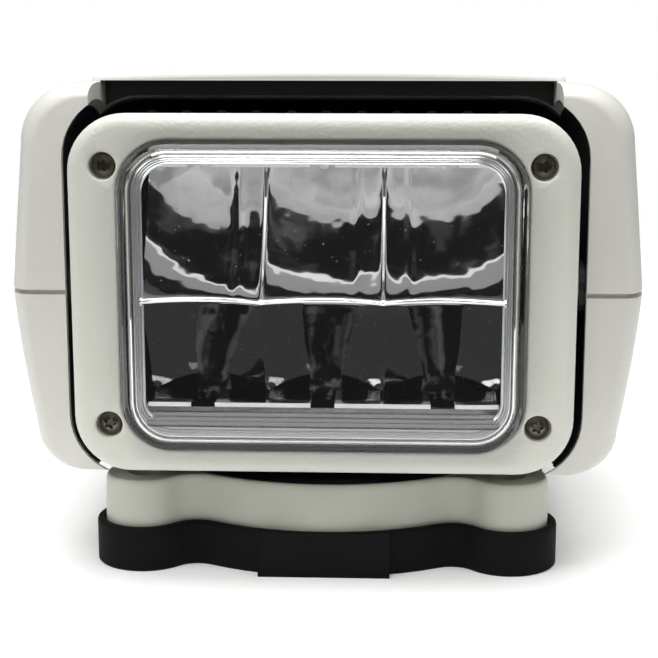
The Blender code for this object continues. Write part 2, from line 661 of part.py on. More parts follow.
    for k, (x, y) in enumerate(shell_screw_places()):
        profile = [(0, SHELL_BOTTOM + 1.4), (SHELL_SCREW_HEAD, SHELL_BOTTOM + 1.4),
                   (SHELL_SCREW_HEAD, SHELL_BOTTOM + 4 - GAP), (1.5, SHELL_BOTTOM + 4 - GAP),
                   (1.5, SEAM_Z + 15), (0, SEAM_Z + 15)]
        screw = turned(profile, (x, y, 0), steps=8)
        add_piece(f"shell_screw_{k + 1}", screw, finishes["steel"], pan)

    drive_pieces(finishes, pan)


def liner_pocket():
    """Room for the liner behind the front face of the pods and the walls of the hood's mouth."""
    pocket = well_body(LINER_WALL + GAP)
    guard = HOOD_MOUTH + SHELL_WALL
    cut(pocket, box((-guard, -200, 120), (guard, HOOD_BACK + SHELL_WALL, 300)))
    cut(pocket, box((-200, -200, 0), (200, SHELL_FRONT + SHELL_WALL, 300)))
    return cut(pocket, box((-200, -200, SHELL_TOP - SHELL_WALL), (200, 200, 300)))


def shell_screw_places():
    return [(side * x, y) for side in (-1, 1) for x, y in SHELL_SCREWS]


def drive_pieces(finishes, pan):
    pinion_low, pinion_high = BOSS_TOP - PAN_FACE, BOSS_TOP
    motor_low = SHELL_BOTTOM + SHELL_WALL + GAP + 2.0
    motor_high = motor_low + PAN_MOTOR_LENGTH
    profile = [(0, pinion_low + 1), (1.5, pinion_low + 1), (1.5, motor_low), (PAN_MOTOR_RADIUS, motor_low),
               (PAN_MOTOR_RADIUS, motor_high), (5, motor_high), (5, motor_high + 3), (0, motor_high + 3)]
    add_piece("pan_motor", turned(profile, (0, PAN_MESH, 0), steps=28), finishes["steel"], pan)
    floor = SHELL_BOTTOM + SHELL_WALL + GAP
    bracket = box((-22, PAN_MESH - 17, floor), (22, PAN_MESH + 17, floor + 2.0 - GAP))
    cut(bracket, rod(6, 0, 80, (0, PAN_MESH, 0)))
    add_piece("pan_motor_bracket", bracket, finishes["steel"], pan)
    teeth = gear_outline(PAN_PINION_TEETH, PAN_MODULE, -90 + 180 / PAN_PINION_TEETH)
    pinion = prism(teeth, pinion_low, pinion_high)
    cut(pinion, rod(1.5 + GAP, 0, 60, steps=12))
    pinion.data.transform(Matrix.Translation((0, PAN_MESH, 0)))
    add_piece("pan_pinion", pinion, finishes["brass"], pan, (0, PAN_MESH, 0))

    rotor_low = PLATE_TOP + 10 + GAP
    wide = HUB_RADIUS - HUB_WALL - GAP
    profile = [(0, rotor_low), (9, rotor_low), (9, BASE_HEIGHT - 2), (wide, BASE_HEIGHT - 2),
               (wide, SHELL_BOTTOM), (0, SHELL_BOTTOM)]
    add_piece("slip_ring_rotor", turned(profile, steps=24), finishes["nylon"], pan)

    face = GEAR_X
    plate_in = -(WELL_HALF + LINER_WALL + GAP)
    front, rear = SHELL_FRONT + SHELL_WALL + 1, TILT_PINION_Y + TILT_MOTOR_RADIUS + 2
    outline = rounded_rect((rear - front) / 2, 14, 7, 4, ((rear + front) / 2, TILT_Z))
    plate = prism(outline, plate_in - GEAR_PLATE, plate_in, "X")
    cut(plate, rod(AXLE_RADIUS + TILT_BUSH_WALL + GAP, -200, 0, (0, TILT_Y, TILT_Z), "X"))
    cut(plate, rod(3.5, -200, 0, (0, TILT_PINION_Y, TILT_Z), "X", 16))
    for y in (IDLER_A_Y, IDLER_B_Y):
        join(plate, rod(IDLER_PIN, face - TILT_FACE - 1.2, plate_in - 0.5, (0, y, TILT_Z), "X", 16))
    add_piece("tilt_gear_plate", plate, finishes["steel"], pan)

    far_end = plate_in + TILT_MOTOR_LENGTH
    profile = [(0, face - TILT_FACE), (1.5, face - TILT_FACE), (1.5, plate_in + GAP),
               (TILT_MOTOR_RADIUS, plate_in + GAP), (TILT_MOTOR_RADIUS, far_end), (4, far_end),
               (4, far_end + 3), (0, far_end + 3)]
    motor = turned(profile, (0, TILT_PINION_Y, TILT_Z), "X", 20)
    add_piece("tilt_motor", motor, finishes["steel"], pan)

    pin_bore = IDLER_PIN + SHAFT_RUN
    train = (("tilt_idler_front", IDLER_A_TEETH, IDLER_A_Y, 180 + 180 / IDLER_A_TEETH, pin_bore),
             ("tilt_idler_rear", IDLER_B_TEETH, IDLER_B_Y, 180, pin_bore),
             ("tilt_pinion", TILT_PINION_TEETH, TILT_PINION_Y, 180 + 180 / TILT_PINION_TEETH, 1.5 + GAP))
    for name, teeth, y, tooth_at, bore in train:
        gear = prism(gear_outline(teeth, TILT_MODULE, tooth_at), face - TILT_FACE, face, "X")
        cut(gear, rod(bore, -200, 200, axis="X", steps=16))
        gear.data.transform(Matrix.Translation((0, y, TILT_Z)))
        add_piece(name, gear, finishes["nylon"], pan, (face - TILT_FACE / 2, y, TILT_Z))

    board_low = SHELL_BOTTOM + SHELL_WALL + 2 + GAP
    near, far = BOARD_NEAR + 1 + GAP, BOARD_FAR - 1 - GAP
    board = box((BOARD_X - 0.8, near, board_low), (BOARD_X + 0.8, far, board_low + 42))
    for y, z, size in ((30, 52, 12), (46, 60, 9), (24, 68, 8)):
        join(board, box((BOARD_X, y - size / 2, z - size / 2), (BOARD_X + 3, y + size / 2, z + size / 2)))
    add_piece("control_board", board, finishes["board"], pan)


# Pieces of the head

def slab(half_x, half_z, corner, front, back, steps=4):
    return prism(rounded_rect(half_x, half_z, corner, steps, (0, TILT_Z)), front, back, "Y")


def cup_places():
    """Axis of each half paraboloid: the upper row's lie along the top, the lower row's along the bottom."""
    across = [(column - (COLUMNS - 1) / 2) * 2 * CUP_HALF_X for column in range(COLUMNS)]
    return [(x, side) for x in across for side in (-1, 1)]


def screw_places():
    return [(side_x * SCREW_X, TILT_Z + side_z * SCREW_Z) for side_x in (-1, 1) for side_z in (-1, 1)]


def head_ring(inset, y, steps=5):
    half_x, half_z, corner = HEAD_HALF_X - inset, HEAD_HALF_Z - inset, max(HEAD_CORNER - inset, 2.0)
    return [(x, y, z) for x, z in rounded_rect(half_x, half_z, corner, steps, (0, TILT_Z))]


def head_pieces(finishes, tilt):
    pivot = (0, TILT_Y, TILT_Z)
    rings = []
    for angle in (90, 45, 0):
        inset = BEZEL_EDGE * (1 - math.cos(math.radians(angle)))
        rings.append(head_ring(inset, HEAD_FRONT + BEZEL_EDGE * (1 - math.sin(math.radians(angle)))))
    rings.append(head_ring(0.6, BEZEL_BACK))
    bezel = loft(rings)
    cut(bezel, slab(HEAD_HALF_X - BEZEL_WALL, HEAD_HALF_Z - BEZEL_WALL, HEAD_CORNER - BEZEL_WALL,
                    HEAD_FRONT + BEZEL_FACE, BEZEL_BACK + 5))
    seat = HEAD_FRONT + 4.5
    for x, z in screw_places():
        post = rod(SCREW_RECESS + 1.6, HEAD_FRONT + 1, BEZEL_BACK - 3, (x, 0, z), "Y", 20)
        within = slab(HEAD_HALF_X - 1, HEAD_HALF_Z - 1, HEAD_CORNER - 1, -200, 0)
        join(bezel, combine(post, within, "INTERSECT"))
        cut(bezel, stepped_hole(SCREW_RECESS, SCREW_SHANK + GAP, HEAD_FRONT - 5, seat, 0, (x, 0, z), "Y"))
    cut(bezel, slab(LENS_HALF_X + GAP, LENS_HALF_Z + GAP, LENS_CORNER + GAP, -200, 0))
    add_piece("bezel", bezel, finishes["white"], tilt, pivot)

    under = seat - GAP
    profile = [(0, under - 2.4), (2.2, under - 2.4), (3.3, under - 1.8), (SCREW_HEAD, under - 0.9),
               (SCREW_HEAD, under), (SCREW_SHANK, under), (SCREW_SHANK, BEZEL_BACK + 2),
               (0, BEZEL_BACK + 2)]
    for k, (x, z) in enumerate(screw_places()):
        screw = turned(profile, (x, 0, z), "Y", 12)
        cut(screw, prism(arc((x, z), 1.5, 0, 300, 5), under - 5, under - 1.0, "Y"))
        add_piece(f"bezel_screw_{k + 1}", screw, finishes["dark_steel"], tilt, pivot)

    def lens_ring(inset, y):
        corner = max(LENS_CORNER - inset, 2)
        outline = rounded_rect(LENS_HALF_X - inset, LENS_HALF_Z - inset, corner, 4, (0, TILT_Z))
        return [(x, y, z) for x, z in outline]
    form = [(4.6, LENS_FRONT), (2.6, LENS_FRONT + 0.8), (1.0, LENS_FRONT + 2.6), (0.0, HEAD_FRONT - 0.5),
            (0.0, FLANGE_BACK)]
    lens = loft([lens_ring(inset, y) for inset, y in form])
    join(lens, flange_slab(FLANGE_FRONT, FLANGE_BACK))
    hollow = [(LENS_WALL + 4.0, LENS_FRONT + LENS_WALL), (LENS_WALL + 1.0, LENS_FRONT + LENS_WALL + 2.0),
              (LENS_WALL, FLANGE_BACK + 2)]
    cut(lens, loft([lens_ring(inset, y) for inset, y in hollow]))
    add_piece("lens", lens, finishes["clear"], tilt, pivot)

    gasket_back = FLANGE_BACK + GAP + 1.8
    gasket = flange_slab(FLANGE_BACK + GAP, gasket_back)
    cut(gasket, slab(LENS_HALF_X - 1, LENS_HALF_Z - 1, LENS_CORNER - 1, -200, 0))
    add_piece("lens_gasket", gasket, finishes["rubber"], tilt, pivot)

    reflector_pieces(finishes, tilt, pivot)
    housing_pieces(finishes, tilt, pivot, gasket_back)


def flange_slab(front, back):
    """Outline of the lens flange and its gasket, notched round the screw posts."""
    half_x, half_z = LENS_HALF_X + LENS_FLANGE, LENS_HALF_Z + LENS_FLANGE - 0.4
    flange = slab(half_x, half_z, LENS_CORNER + LENS_FLANGE, front, back)
    for x, z in screw_places():
        cut(flange, rod(SCREW_RECESS + 1.6 + GAP, -200, 200, (x, 0, z), "Y", 16))
    return flange


def reflector_pieces(finishes, tilt, pivot):
    half_x, half_z = COLUMNS * CUP_HALF_X, ROWS * CUP_HALF_Z
    array = slab(half_x, half_z, CUP_CORNER, ARRAY_FRONT, ARRAY_BACK, 3)
    reach = math.hypot(CUP_HALF_X, CUP_AXIS) + 4
    profile = [(reach * share, CUP_VERTEX - (reach * share) ** 2 / (4 * CUP_FOCUS))
               for share in (0, 0.14, 0.28, 0.42, 0.56, 0.7, 0.85, 1)]
    profile.append((0, profile[-1][1]))
    for x, side in cup_places():
        cut(array, turned(profile, (x, 0, TILT_Z + side * CUP_AXIS), "Y", 32))
    add_piece("reflector_array", array, finishes["chrome"], tilt, pivot)

    near, far = half_z + GAP, half_z + GAP + LED_BOARD_THICK
    for name, side in (("led_board_lower", -1), ("led_board_upper", 1)):
        low, high = sorted((TILT_Z + side * near, TILT_Z + side * far))
        board = box((2.5 - half_x, LED_BOARD_FRONT, low), (half_x - 2.5, LED_BOARD_BACK, high))
        add_piece(name, board, finishes["board"], tilt, pivot)
    for k, (x, side) in enumerate(cup_places()):
        base = near - GAP
        profile = [(0, base - 3.1), (1.2, base - 2.7), (1.9, base - 1.6), (3.2, base - 1.5), (3.2, base),
                   (0, base)]
        emitter = turned([(radius, side * up) for radius, up in profile],
                         (x, CUP_VERTEX - CUP_FOCUS, TILT_Z), "Z", 10)
        add_piece(f"led_emitter_{k + 1}", emitter, finishes["phosphor"], tilt, pivot)


def housing_pieces(finishes, tilt, pivot, gasket_back):
    rim_x, rim_z = HEAD_HALF_X - BEZEL_WALL - GAP, HEAD_HALF_Z - BEZEL_WALL - GAP
    corner = HEAD_CORNER - BEZEL_WALL
    front = gasket_back + GAP
    rings = []
    for y, inset in ((front, 0), (BEZEL_BACK - 1, 0), (BEZEL_BACK + 6, 3), (TILT_Y + 4, 6), (TILT_Y + 12, 7)):
        outline = rounded_rect(rim_x - inset, rim_z - inset, corner, 6, (0, TILT_Z))
        rings.append([(x, y, z) for x, z in outline])
    housing = loft(rings)
    fins = [(0, DRUM_HALF)]
    pitch = 2 * DRUM_HALF / FIN_COUNT
    for k in range(FIN_COUNT):
        middle = DRUM_HALF - (k + 0.5) * pitch
        fins.append((FIN_ROOT, middle + FIN_THICK / 2 + 0.6))
        fins.append((FIN_RADIUS, middle + FIN_THICK / 2))
        fins.append((FIN_RADIUS, middle - FIN_THICK / 2))
        fins.append((FIN_ROOT, middle - FIN_THICK / 2 - 0.6))
    fins[1] = (fins[1][0], DRUM_HALF)
    fins[-1] = (fins[-1][0], -DRUM_HALF)
    fins.append((0, -DRUM_HALF))
    drum = turned(fins, (0, TILT_Y, TILT_Z), "X", 18)
    cut(drum, box((-100, -200, 0), (100, DRUM_FRONT, 200)))
    join(housing, drum)
    for side in (-1, 1):
        low, high = sorted((side * (DRUM_HALF - 2), side * (HEAD_HALF_X - 3)))
        join(housing, rod(HUB_BOSS, low, high, (0, TILT_Y, TILT_Z), "X", 20))
    hollow = slab(COLUMNS * CUP_HALF_X + 2.5, ROWS * CUP_HALF_Z + 2.5, 6, -200, TRAY_FLOOR, 4)
    cut(housing, hollow)
    step, end = BEZEL_BACK - 3 + GAP, BEZEL_BACK + 2 + GAP
    for x, z in screw_places():
        around = SCREW_RECESS + 1.6 + GAP
        cut(housing, stepped_hole(around, SCREW_SHANK + GAP, -200, step, end, (x, 0, z), "Y"))
    cut(housing, rod(AXLE_RADIUS + GAP, -200, -(HEAD_HALF_X - 12), (0, TILT_Y, TILT_Z), "X", 20))
    cut(housing, rod(AXLE_RADIUS + GAP, HEAD_HALF_X - 12, 200, (0, TILT_Y, TILT_Z), "X", 20))
    add_piece("head_housing", housing, finishes["black_cast"], tilt, pivot)

    start = HEAD_HALF_X - 12 + GAP
    far_left = -GEAR_X + TILT_FACE + 2
    left = tube(AXLE_BORE, AXLE_RADIUS, -far_left, -start, pivot, "X", 20)
    flat = box((-far_left - 1, TILT_Y - 9, TILT_Z + 4.6), (GEAR_X + GAP, TILT_Y + 9, TILT_Z + 9))
    cut(left, flat)
    add_piece("axle_left", left, finishes["steel"], tilt, pivot)
    right = tube(AXLE_BORE, AXLE_RADIUS, start, WELL_HALF + LINER_WALL + 5, pivot, "X", 20)
    add_piece("axle_right", right, finishes["steel"], tilt, pivot)

    teeth = gear_outline(SECTOR_TEETH, TILT_MODULE, 0, SECTOR_FIRST, SECTOR_CUT, SECTOR_DISC)
    sector = prism(teeth, GEAR_X - TILT_FACE, GEAR_X, "X")
    bore = rod(AXLE_RADIUS + GAP, -200, 200, axis="X", steps=20)
    cut(bore, box((-300, -9, 4.6 + GAP), (300, 9, 9)))
    cut(sector, bore)
    sector.data.transform(Matrix.Translation((0, TILT_Y, TILT_Z)))
    add_piece("tilt_sector", sector, finishes["nylon"], tilt, pivot)


def build():
    clear_scene()
    finishes = {
        "white": material("moulded_white", (0.72, 0.72, 0.66), 0.42),
        "rubber": material("gasket_rubber", (0.018, 0.018, 0.02), 0.75),
        "black": material("moulded_black", (0.02, 0.02, 0.022), 0.5),
        "steel": material("stainless_steel", (0.6, 0.6, 0.6), 0.3, 1.0),
        "dark_steel": material("dark_screw", (0.12, 0.11, 0.09), 0.35, 1.0),
        "cast": material("cast_aluminium", (0.5, 0.5, 0.5), 0.5, 1.0),
        "black_cast": material("coated_casting", (0.03, 0.03, 0.032), 0.5),
        "bronze": material("bearing_bronze", (0.45, 0.3, 0.14), 0.35, 1.0),
        "brass": material("gear_brass", (0.7, 0.52, 0.25), 0.3, 1.0),
        "nylon": material("gear_nylon", (0.75, 0.74, 0.68), 0.45),
        "nylon_grey": material("bush_grey", (0.3, 0.3, 0.3), 0.45),
        "chrome": material("reflector_chrome", (0.9, 0.9, 0.9), 0.05, 1.0),
        "clear": material("clear_lens", (0.95, 0.96, 0.96), 0.05),
        "board": material("circuit_board", (0.03, 0.16, 0.07), 0.5),
        "phosphor": material("led_phosphor", (0.85, 0.72, 0.2), 0.4),
    }
    root = axis_empty("deck", (0, 0, 0))
    pan = axis_empty("pan_axis", (0, 0, 0), root)
    tilt = axis_empty("tilt_axis", (0, TILT_Y, TILT_Z), pan)
    base_pieces(finishes, root)
    yoke_pieces(finishes, pan)
    head_pieces(finishes, tilt)


build()
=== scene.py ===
import math

import bmesh
import bpy
from mathutils import Matrix, Vector


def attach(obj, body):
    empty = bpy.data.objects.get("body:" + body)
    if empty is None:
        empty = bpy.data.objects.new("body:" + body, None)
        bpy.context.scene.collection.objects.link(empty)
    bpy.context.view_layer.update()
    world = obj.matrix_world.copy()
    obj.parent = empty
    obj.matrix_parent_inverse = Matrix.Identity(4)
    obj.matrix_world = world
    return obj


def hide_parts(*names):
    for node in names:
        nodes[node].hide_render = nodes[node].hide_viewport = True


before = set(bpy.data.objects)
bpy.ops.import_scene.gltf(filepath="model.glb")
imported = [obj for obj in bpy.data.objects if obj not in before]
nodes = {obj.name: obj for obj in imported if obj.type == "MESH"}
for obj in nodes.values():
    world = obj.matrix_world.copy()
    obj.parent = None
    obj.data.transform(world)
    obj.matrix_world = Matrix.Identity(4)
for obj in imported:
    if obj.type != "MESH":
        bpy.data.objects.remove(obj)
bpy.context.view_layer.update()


# Mounting gasket
# The real one is a black moulded rubber tray that the base stands in. Its lip stands up
# round the white drum, four lobes carry the deck screws, and small flats mark front and rear.
# Lengths are in millimetres until a piece is handed over. Pieces that touch lie GAP apart,
# and a cutter reaches PAST or more beyond the face that it opens.

MM = 0.001
WELD = 0.002
GAP = 0.3
PAST = 5
LOBE_X, LOBE_Y = 60.6, 59.0
DRUM_RADIUS, LOBE_RADIUS, LOBE_FILLET = 75.0, 13.5, 11.0
LIP_OUT, LIP_TOP, TRAY_FLOOR = 2.8, 14.8, 2.5
LIP_FOOT = [(0.5, 0.0), (0.0, 0.6)]
LIP_EDGE = [(0.0, 1.1), (0.2, 0.5), (0.6, 0.1), (1.3, 0.0)]
LIP_CHAMFER = 0.4
PAD_HALF, PAD_FRONT, PAD_ROOT = 21.5, 78.3, 6
FLOOR_CUT = (-1, 6)
GLAND_Y, CABLE_WINDOW = 46.0, 10.2
DECK_HOLE = 2.8
RUBBER_BLACK = (0.004, 0.004, 0.0045)


def arc(centre, radius, start, end, steps):
    angles = [math.radians(start + (end - start) * k / steps) for k in range(steps + 1)]
    return [(centre[0] + radius * math.cos(a), centre[1] + radius * math.sin(a)) for a in angles]


def lobed_outline(inset, steps=9):
    """Plan of the base: a drum with four lobes and hollow fillets, pulled in by the inset."""
    drum, lobe, fillet = DRUM_RADIUS - inset, LOBE_RADIUS - inset, LOBE_FILLET + inset
    reach = math.hypot(LOBE_X, LOBE_Y)
    lobe_angle = math.degrees(math.atan2(LOBE_Y, LOBE_X))
    near, far = drum + fillet, lobe + fillet
    swing = math.degrees(math.acos((reach ** 2 + near ** 2 - far ** 2) / (2 * reach * near)))
    corner = math.degrees(math.acos((reach ** 2 + far ** 2 - near ** 2) / (2 * reach * far)))
    quarter = []
    for side in (-1, 1):
        hollow = lobe_angle + side * swing
        middle = (near * math.cos(math.radians(hollow)), near * math.sin(math.radians(hollow)))
        curve = arc(middle, fillet, hollow + 180, hollow + 180 + side * (180 - swing - corner), steps)
        quarter.append(curve if side < 0 else curve[::-1])
    half = 180 - corner
    tip = arc((LOBE_X, LOBE_Y), lobe, lobe_angle - half, lobe_angle + half, 3 * steps)
    first = quarter[0] + tip[1:-1] + quarter[1]
    points = []
    for k, (side_x, side_y) in enumerate(((1, 1), (-1, 1), (-1, -1), (1, -1))):
        turned = [(side_x * x, side_y * y) for x, y in (first if k % 2 == 0 else first[::-1])]
        points += turned
        begin = math.degrees(math.atan2(turned[-1][1], turned[-1][0]))
        sweep = 2 * abs((begin - 90 * (k + 1) + 180) % 360 - 180)
        points += arc((0, 0), drum, begin, begin + sweep, 12)[1:-1]
    return points


def as_shape(bm):
    """Put a finished bmesh on an object, with its faces pointing out."""
    bmesh.ops.recalc_face_normals(bm, faces=bm.faces)
    mesh = bpy.data.meshes.new("shape")
    bm.to_mesh(mesh)
    bm.free()
    shape = bpy.data.objects.new("shape", mesh)
    bpy.context.scene.collection.objects.link(shape)
    return shape


def wire(bm, points):
    verts = [bm.verts.new(point) for point in points]
    return [bm.edges.new(pair) for pair in zip(verts, verts[1:] + verts[:1])]


def skin(rings, closed=False):
    """Bridge rings of equal numbers of points; capped at both ends, or closed into a loop."""
    bm = bmesh.new()
    loops = [wire(bm, ring) for ring in rings]
    for near, far in zip(loops, loops[1:]):
        bmesh.ops.bridge_loops(bm, edges=near + far)
    if closed:
        bmesh.ops.bridge_loops(bm, edges=loops[-1] + loops[0])
    else:
        bmesh.ops.contextual_create(bm, geom=loops[0])
        bmesh.ops.contextual_create(bm, geom=loops[-1])
    return as_shape(bm)


def pushed(outline, low, high, axis="Z"):
    """Extrude an outline from low to high along an axis."""
    def place(u, v, w):
        return {"X": (w, u, v), "Y": (u, w, v), "Z": (u, v, w)}[axis]
    bm = bmesh.new()
    bmesh.ops.contextual_create(bm, geom=wire(bm, [place(u, v, low) for u, v in outline]))
    grown = bmesh.ops.extrude_face_region(bm, geom=bm.faces[:])
    moved = [item for item in grown["geom"] if isinstance(item, bmesh.types.BMVert)]
    bmesh.ops.translate(bm, verts=moved, vec=place(0, 0, high - low))
    return as_shape(bm)


TURN_TO = {"X": Matrix.Rotation(math.pi / 2, 4, "Y"), "Y": Matrix.Rotation(-math.pi / 2, 4, "X"),
           "Z": Matrix.Identity(4)}


def turned(profile, centre=(0, 0, 0), axis="Z", steps=96):
    """Spin a profile of (radius, distance along the axis) points."""
    bm = bmesh.new()
    verts = [bm.verts.new((radius, 0, along)) for radius, along in profile]
    edges = [bm.edges.new(pair) for pair in zip(verts, verts[1:])]
    if profile[0][0] > 0:
        edges.append(bm.edges.new((verts[-1], verts[0])))
    bmesh.ops.spin(bm, geom=verts + edges, cent=(0, 0, 0), axis=(0, 0, 1), angle=2 * math.pi,
                   steps=steps, use_merge=True)
    bmesh.ops.remove_doubles(bm, verts=bm.verts, dist=1e-4)
    bmesh.ops.transform(bm, matrix=Matrix.Translation(centre) @ TURN_TO[axis], verts=bm.verts)
    return as_shape(bm)


def rod(radius, low, high, centre=(0, 0, 0), axis="Z", steps=48):
    return turned([(0, low), (radius, low), (radius, high), (0, high)], centre, axis, steps)


def block(low, high):
    bm = bmesh.new()
    bmesh.ops.create_cube(bm, size=1.0)
    size = [b - a for a, b in zip(low, high)]
    middle = [(a + b) / 2 for a, b in zip(low, high)]
    bmesh.ops.transform(bm, matrix=Matrix.Translation(middle) @ Matrix.Diagonal((*size, 1)),
                        verts=bm.verts)
    return as_shape(bm)


def work(shape, tools, operation):
    """Cut a shape by tools, join them to it or keep what they share; the tools are used up."""
    for tool in tools:
        step = shape.modifiers.new("work", "BOOLEAN")
        step.operation = operation
        step.solver = "EXACT"
        step.object = tool
        bpy.context.view_layer.update()
        result = bpy.data.meshes.new_from_object(shape.evaluated_get(bpy.context.evaluated_depsgraph_get()))
        shape.modifiers.remove(step)
        shape.data = result
        bm = bmesh.new()
        bm.from_mesh(result)
        bmesh.ops.remove_doubles(bm, verts=bm.verts, dist=WELD)
        bmesh.ops.dissolve_degenerate(bm, edges=bm.edges, dist=WELD)
        bm.to_mesh(result)
        bm.free()
        bpy.data.objects.remove(tool, do_unlink=True)
    return shape


def cut(shape, *tools):
    return work(shape, tools, "DIFFERENCE")


def join(shape, *tools):
    return work(shape, tools, "UNION")


def hand_over(name, shape, finish, slot, body, *replaced, crease=35):
    """Scale a shape to metres, shade it, give it its finish and let it ride on its body."""
    shape.name = name
    shape.data.name = name
    shape.data.transform(Matrix.Scale(MM, 4))
    shape.data.materials.clear()
    shape.data.materials.append(finish)
    shape.data.shade_smooth()
    shape.data.set_sharp_from_angle(angle=math.radians(crease))
    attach(shape, body)
    if replaced:
        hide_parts(*replaced)
    return shape


def dress(finish, *names):
    """Give CAD nodes their finish."""
    for name in names:
        nodes[name].data.materials.clear()
        nodes[name].data.materials.append(finish)


class Value:
    """A node's output. Arithmetic on it adds Math nodes."""

    def __init__(self, tree, socket):
        self.tree = tree
        self.socket = socket

    def maths(self, operation, first, second):
        step = self.tree.nodes.new("ShaderNodeMath")
        step.operation = operation
        for place, given in zip(step.inputs, (first, second)):
            if isinstance(given, Value):
                self.tree.links.new(given.socket, place)
            else:
                place.default_value = given
        return Value(self.tree, step.outputs[0])

    def __add__(self, other):
        return self.maths("ADD", self, other)

    def __radd__(self, other):
        return self.maths("ADD", other, self)

    def __sub__(self, other):
        return self.maths("SUBTRACT", self, other)

    def __rsub__(self, other):
        return self.maths("SUBTRACT", other, self)

    def __mul__(self, other):
        return self.maths("MULTIPLY", self, other)

    def __rmul__(self, other):
        return self.maths("MULTIPLY", other, self)

    def clipped(self):
        return self.maths("MINIMUM", self.maths("MAXIMUM", self, 0.0), 1.0)


class Finish:
    """One material on a Principled shader; what doesn't vary is set on its sockets."""

    def __init__(self, name, colour, **constants):
        self.material = bpy.data.materials.new(name)
        self.material.use_nodes = True
        self.material.diffuse_color = (*colour, 1.0)
        self.tree = self.material.node_tree
        self.shader = self.tree.nodes["Principled BSDF"]
        self.shader.inputs["Base Color"].default_value = (*colour, 1.0)
        for socket, value in constants.items():
            self.shader.inputs[socket.replace("_", " ")].default_value = value
        self.place = self.node("ShaderNodeTexCoord", out="Object")

    def node(self, kind, settings=None, values=None, out=0):
        """Add a node: its settings first, then the values or links of its sockets."""
        made = self.tree.nodes.new(kind)
        for key, value in (settings or {}).items():
            setattr(made, key, value)
        for key, value in (values or {}).items():
            if isinstance(value, Value):
                self.tree.links.new(value.socket, made.inputs[key])
            else:
                made.inputs[key].default_value = value
        return Value(self.tree, made.outputs[out])

    def noise(self, size, detail=3.0, roughness=0.5):
        """Noise from 0 to 1 whose lumps are about size millimetres across."""
        values = {"Vector": self.place, "Scale": 1 / (size * MM), "Detail": detail, "Roughness": roughness}
        return self.node("ShaderNodeTexNoise", {}, values, out="Fac")

    def blend(self, share, dark, light):
        """Colour between two colours, given as numbers or as an earlier blend, by a share."""
        dark, light = [tone if isinstance(tone, Value) else (*tone, 1.0) for tone in (dark, light)]
        return self.node("ShaderNodeMix", {"data_type": "RGBA"}, {0: share, 6: dark, 7: light}, out=2)

    def feed(self, socket, value):
        self.tree.links.new(value.socket, self.shader.inputs[socket])

    def bumps(self, height, depth, strength=1.0):
        """Raise the surface by a height from 0 to 1, depth millimetres at most."""
        values = {"Height": height, "Distance": depth * MM, "Strength": strength}
        self.feed("Normal", self.node("ShaderNodeBump", {}, values, out="Normal"))


def rubber_finish():
    """Matt black rubber with a fine moulded tooth and a little pale dust."""
    rubber = Finish("gasket_rubber", RUBBER_BLACK, Roughness=0.6, Specular_IOR_Level=0.12)
    tooth = rubber.noise(0.35, 4.0)
    dust = ((rubber.noise(14.0, 5.0) - 0.52) * 4.0).clipped()
    rubber.feed("Base Color", rubber.blend(dust * 0.35, RUBBER_BLACK, (0.012, 0.012, 0.0115)))
    rubber.feed("Roughness", 0.55 + tooth * 0.2 + dust * 0.1)
    rubber.bumps(tooth, 0.05, 0.6)
    return rubber.material


RUBBER = rubber_finish()
levels = [(back - LIP_OUT, up) for back, up in LIP_FOOT]
levels += [(back - LIP_OUT, LIP_TOP - drop) for back, drop in LIP_EDGE]
levels += [(-GAP - LIP_CHAMFER, LIP_TOP), (-GAP, LIP_TOP - LIP_CHAMFER)]
tray = skin([[(x, y, z) for x, y in lobed_outline(inset)] for inset, z in levels])
for side in (-1, 1):
    near, far = sorted((side * (DRUM_RADIUS - PAD_ROOT), side * PAD_FRONT))
    join(tray, block((-PAD_HALF, near, 0), (PAD_HALF, far, LIP_TOP - LIP_CHAMFER)))
cut(tray, pushed(lobed_outline(-GAP), TRAY_FLOOR, LIP_TOP + PAST))
cut(tray, rod(CABLE_WINDOW, *FLOOR_CUT, (0, GLAND_Y, 0)))
LOBES = [(side_x * LOBE_X, side_y * LOBE_Y) for side_x in (-1, 1) for side_y in (-1, 1)]
for x, y in LOBES:
    cut(tray, rod(DECK_HOLE, *FLOOR_CUT, (x, y, 0)))
hand_over("gasket_tray", tray, RUBBER, "gasket_rubber", "base", "mounting_gasket")


# Base housing
# The real one is a white moulded drum with four screw lobes, blended by hollow fillets.
# It stands in the gasket, and its top has a recess that the turntable turns in.

BASE_BOTTOM, BASE_TOP, BASE_ROUND = 2.8, 30.0, 2.4
WALL_DRAFT, SHOULDER_IN, SHOULDER_DROP, ROUND_IN = 0.35, 0.5, 3, 1.0
TABLE_RADIUS, TABLE_THICK, RUN = 72.5, 3.4, 0.6
CAVITY_RADIUS, LEDGE, LEDGE_THICK, LEDGE_WIDE = 71.0, 24.1, 2.5, 4
HEAD_HOLE, HEAD_DEPTH = 6.0, 12.0
# The base drum's white is darker than the shells' white: painted shade, for the drum stands under the head.
PAINTED_SHADE_DRUM_TONE = (0.58, 0.58, 0.51)
PAINTED_SHADE_DRUM_MOTTLE = (0.53, 0.53, 0.46)


def white_finish(name, light, dark, grain, depth, gloss):
    """Moulded white plastic: a pebbled grain in the skin and faint mottling."""
    white = Finish(name, light, Roughness=gloss, IOR=1.48)
    mottle = ((white.noise(22.0, 4.0) - 0.35) * 2.2).clipped()
    pebbles = {"Vector": white.place, "Scale": 1 / (grain * MM), "Randomness": 1.0, "Smoothness": 0.6}
    cells = white.node("ShaderNodeTexVoronoi", {"feature": "SMOOTH_F1"}, pebbles, out="Distance")
    tooth = white.noise(0.4 * grain, 3.0)
    white.feed("Base Color", white.blend(mottle, dark, light))
    white.feed("Roughness", gloss - 0.06 + tooth * 0.14)
    white.bumps(cells * 0.75 + tooth * 0.35, depth)
    return white.material


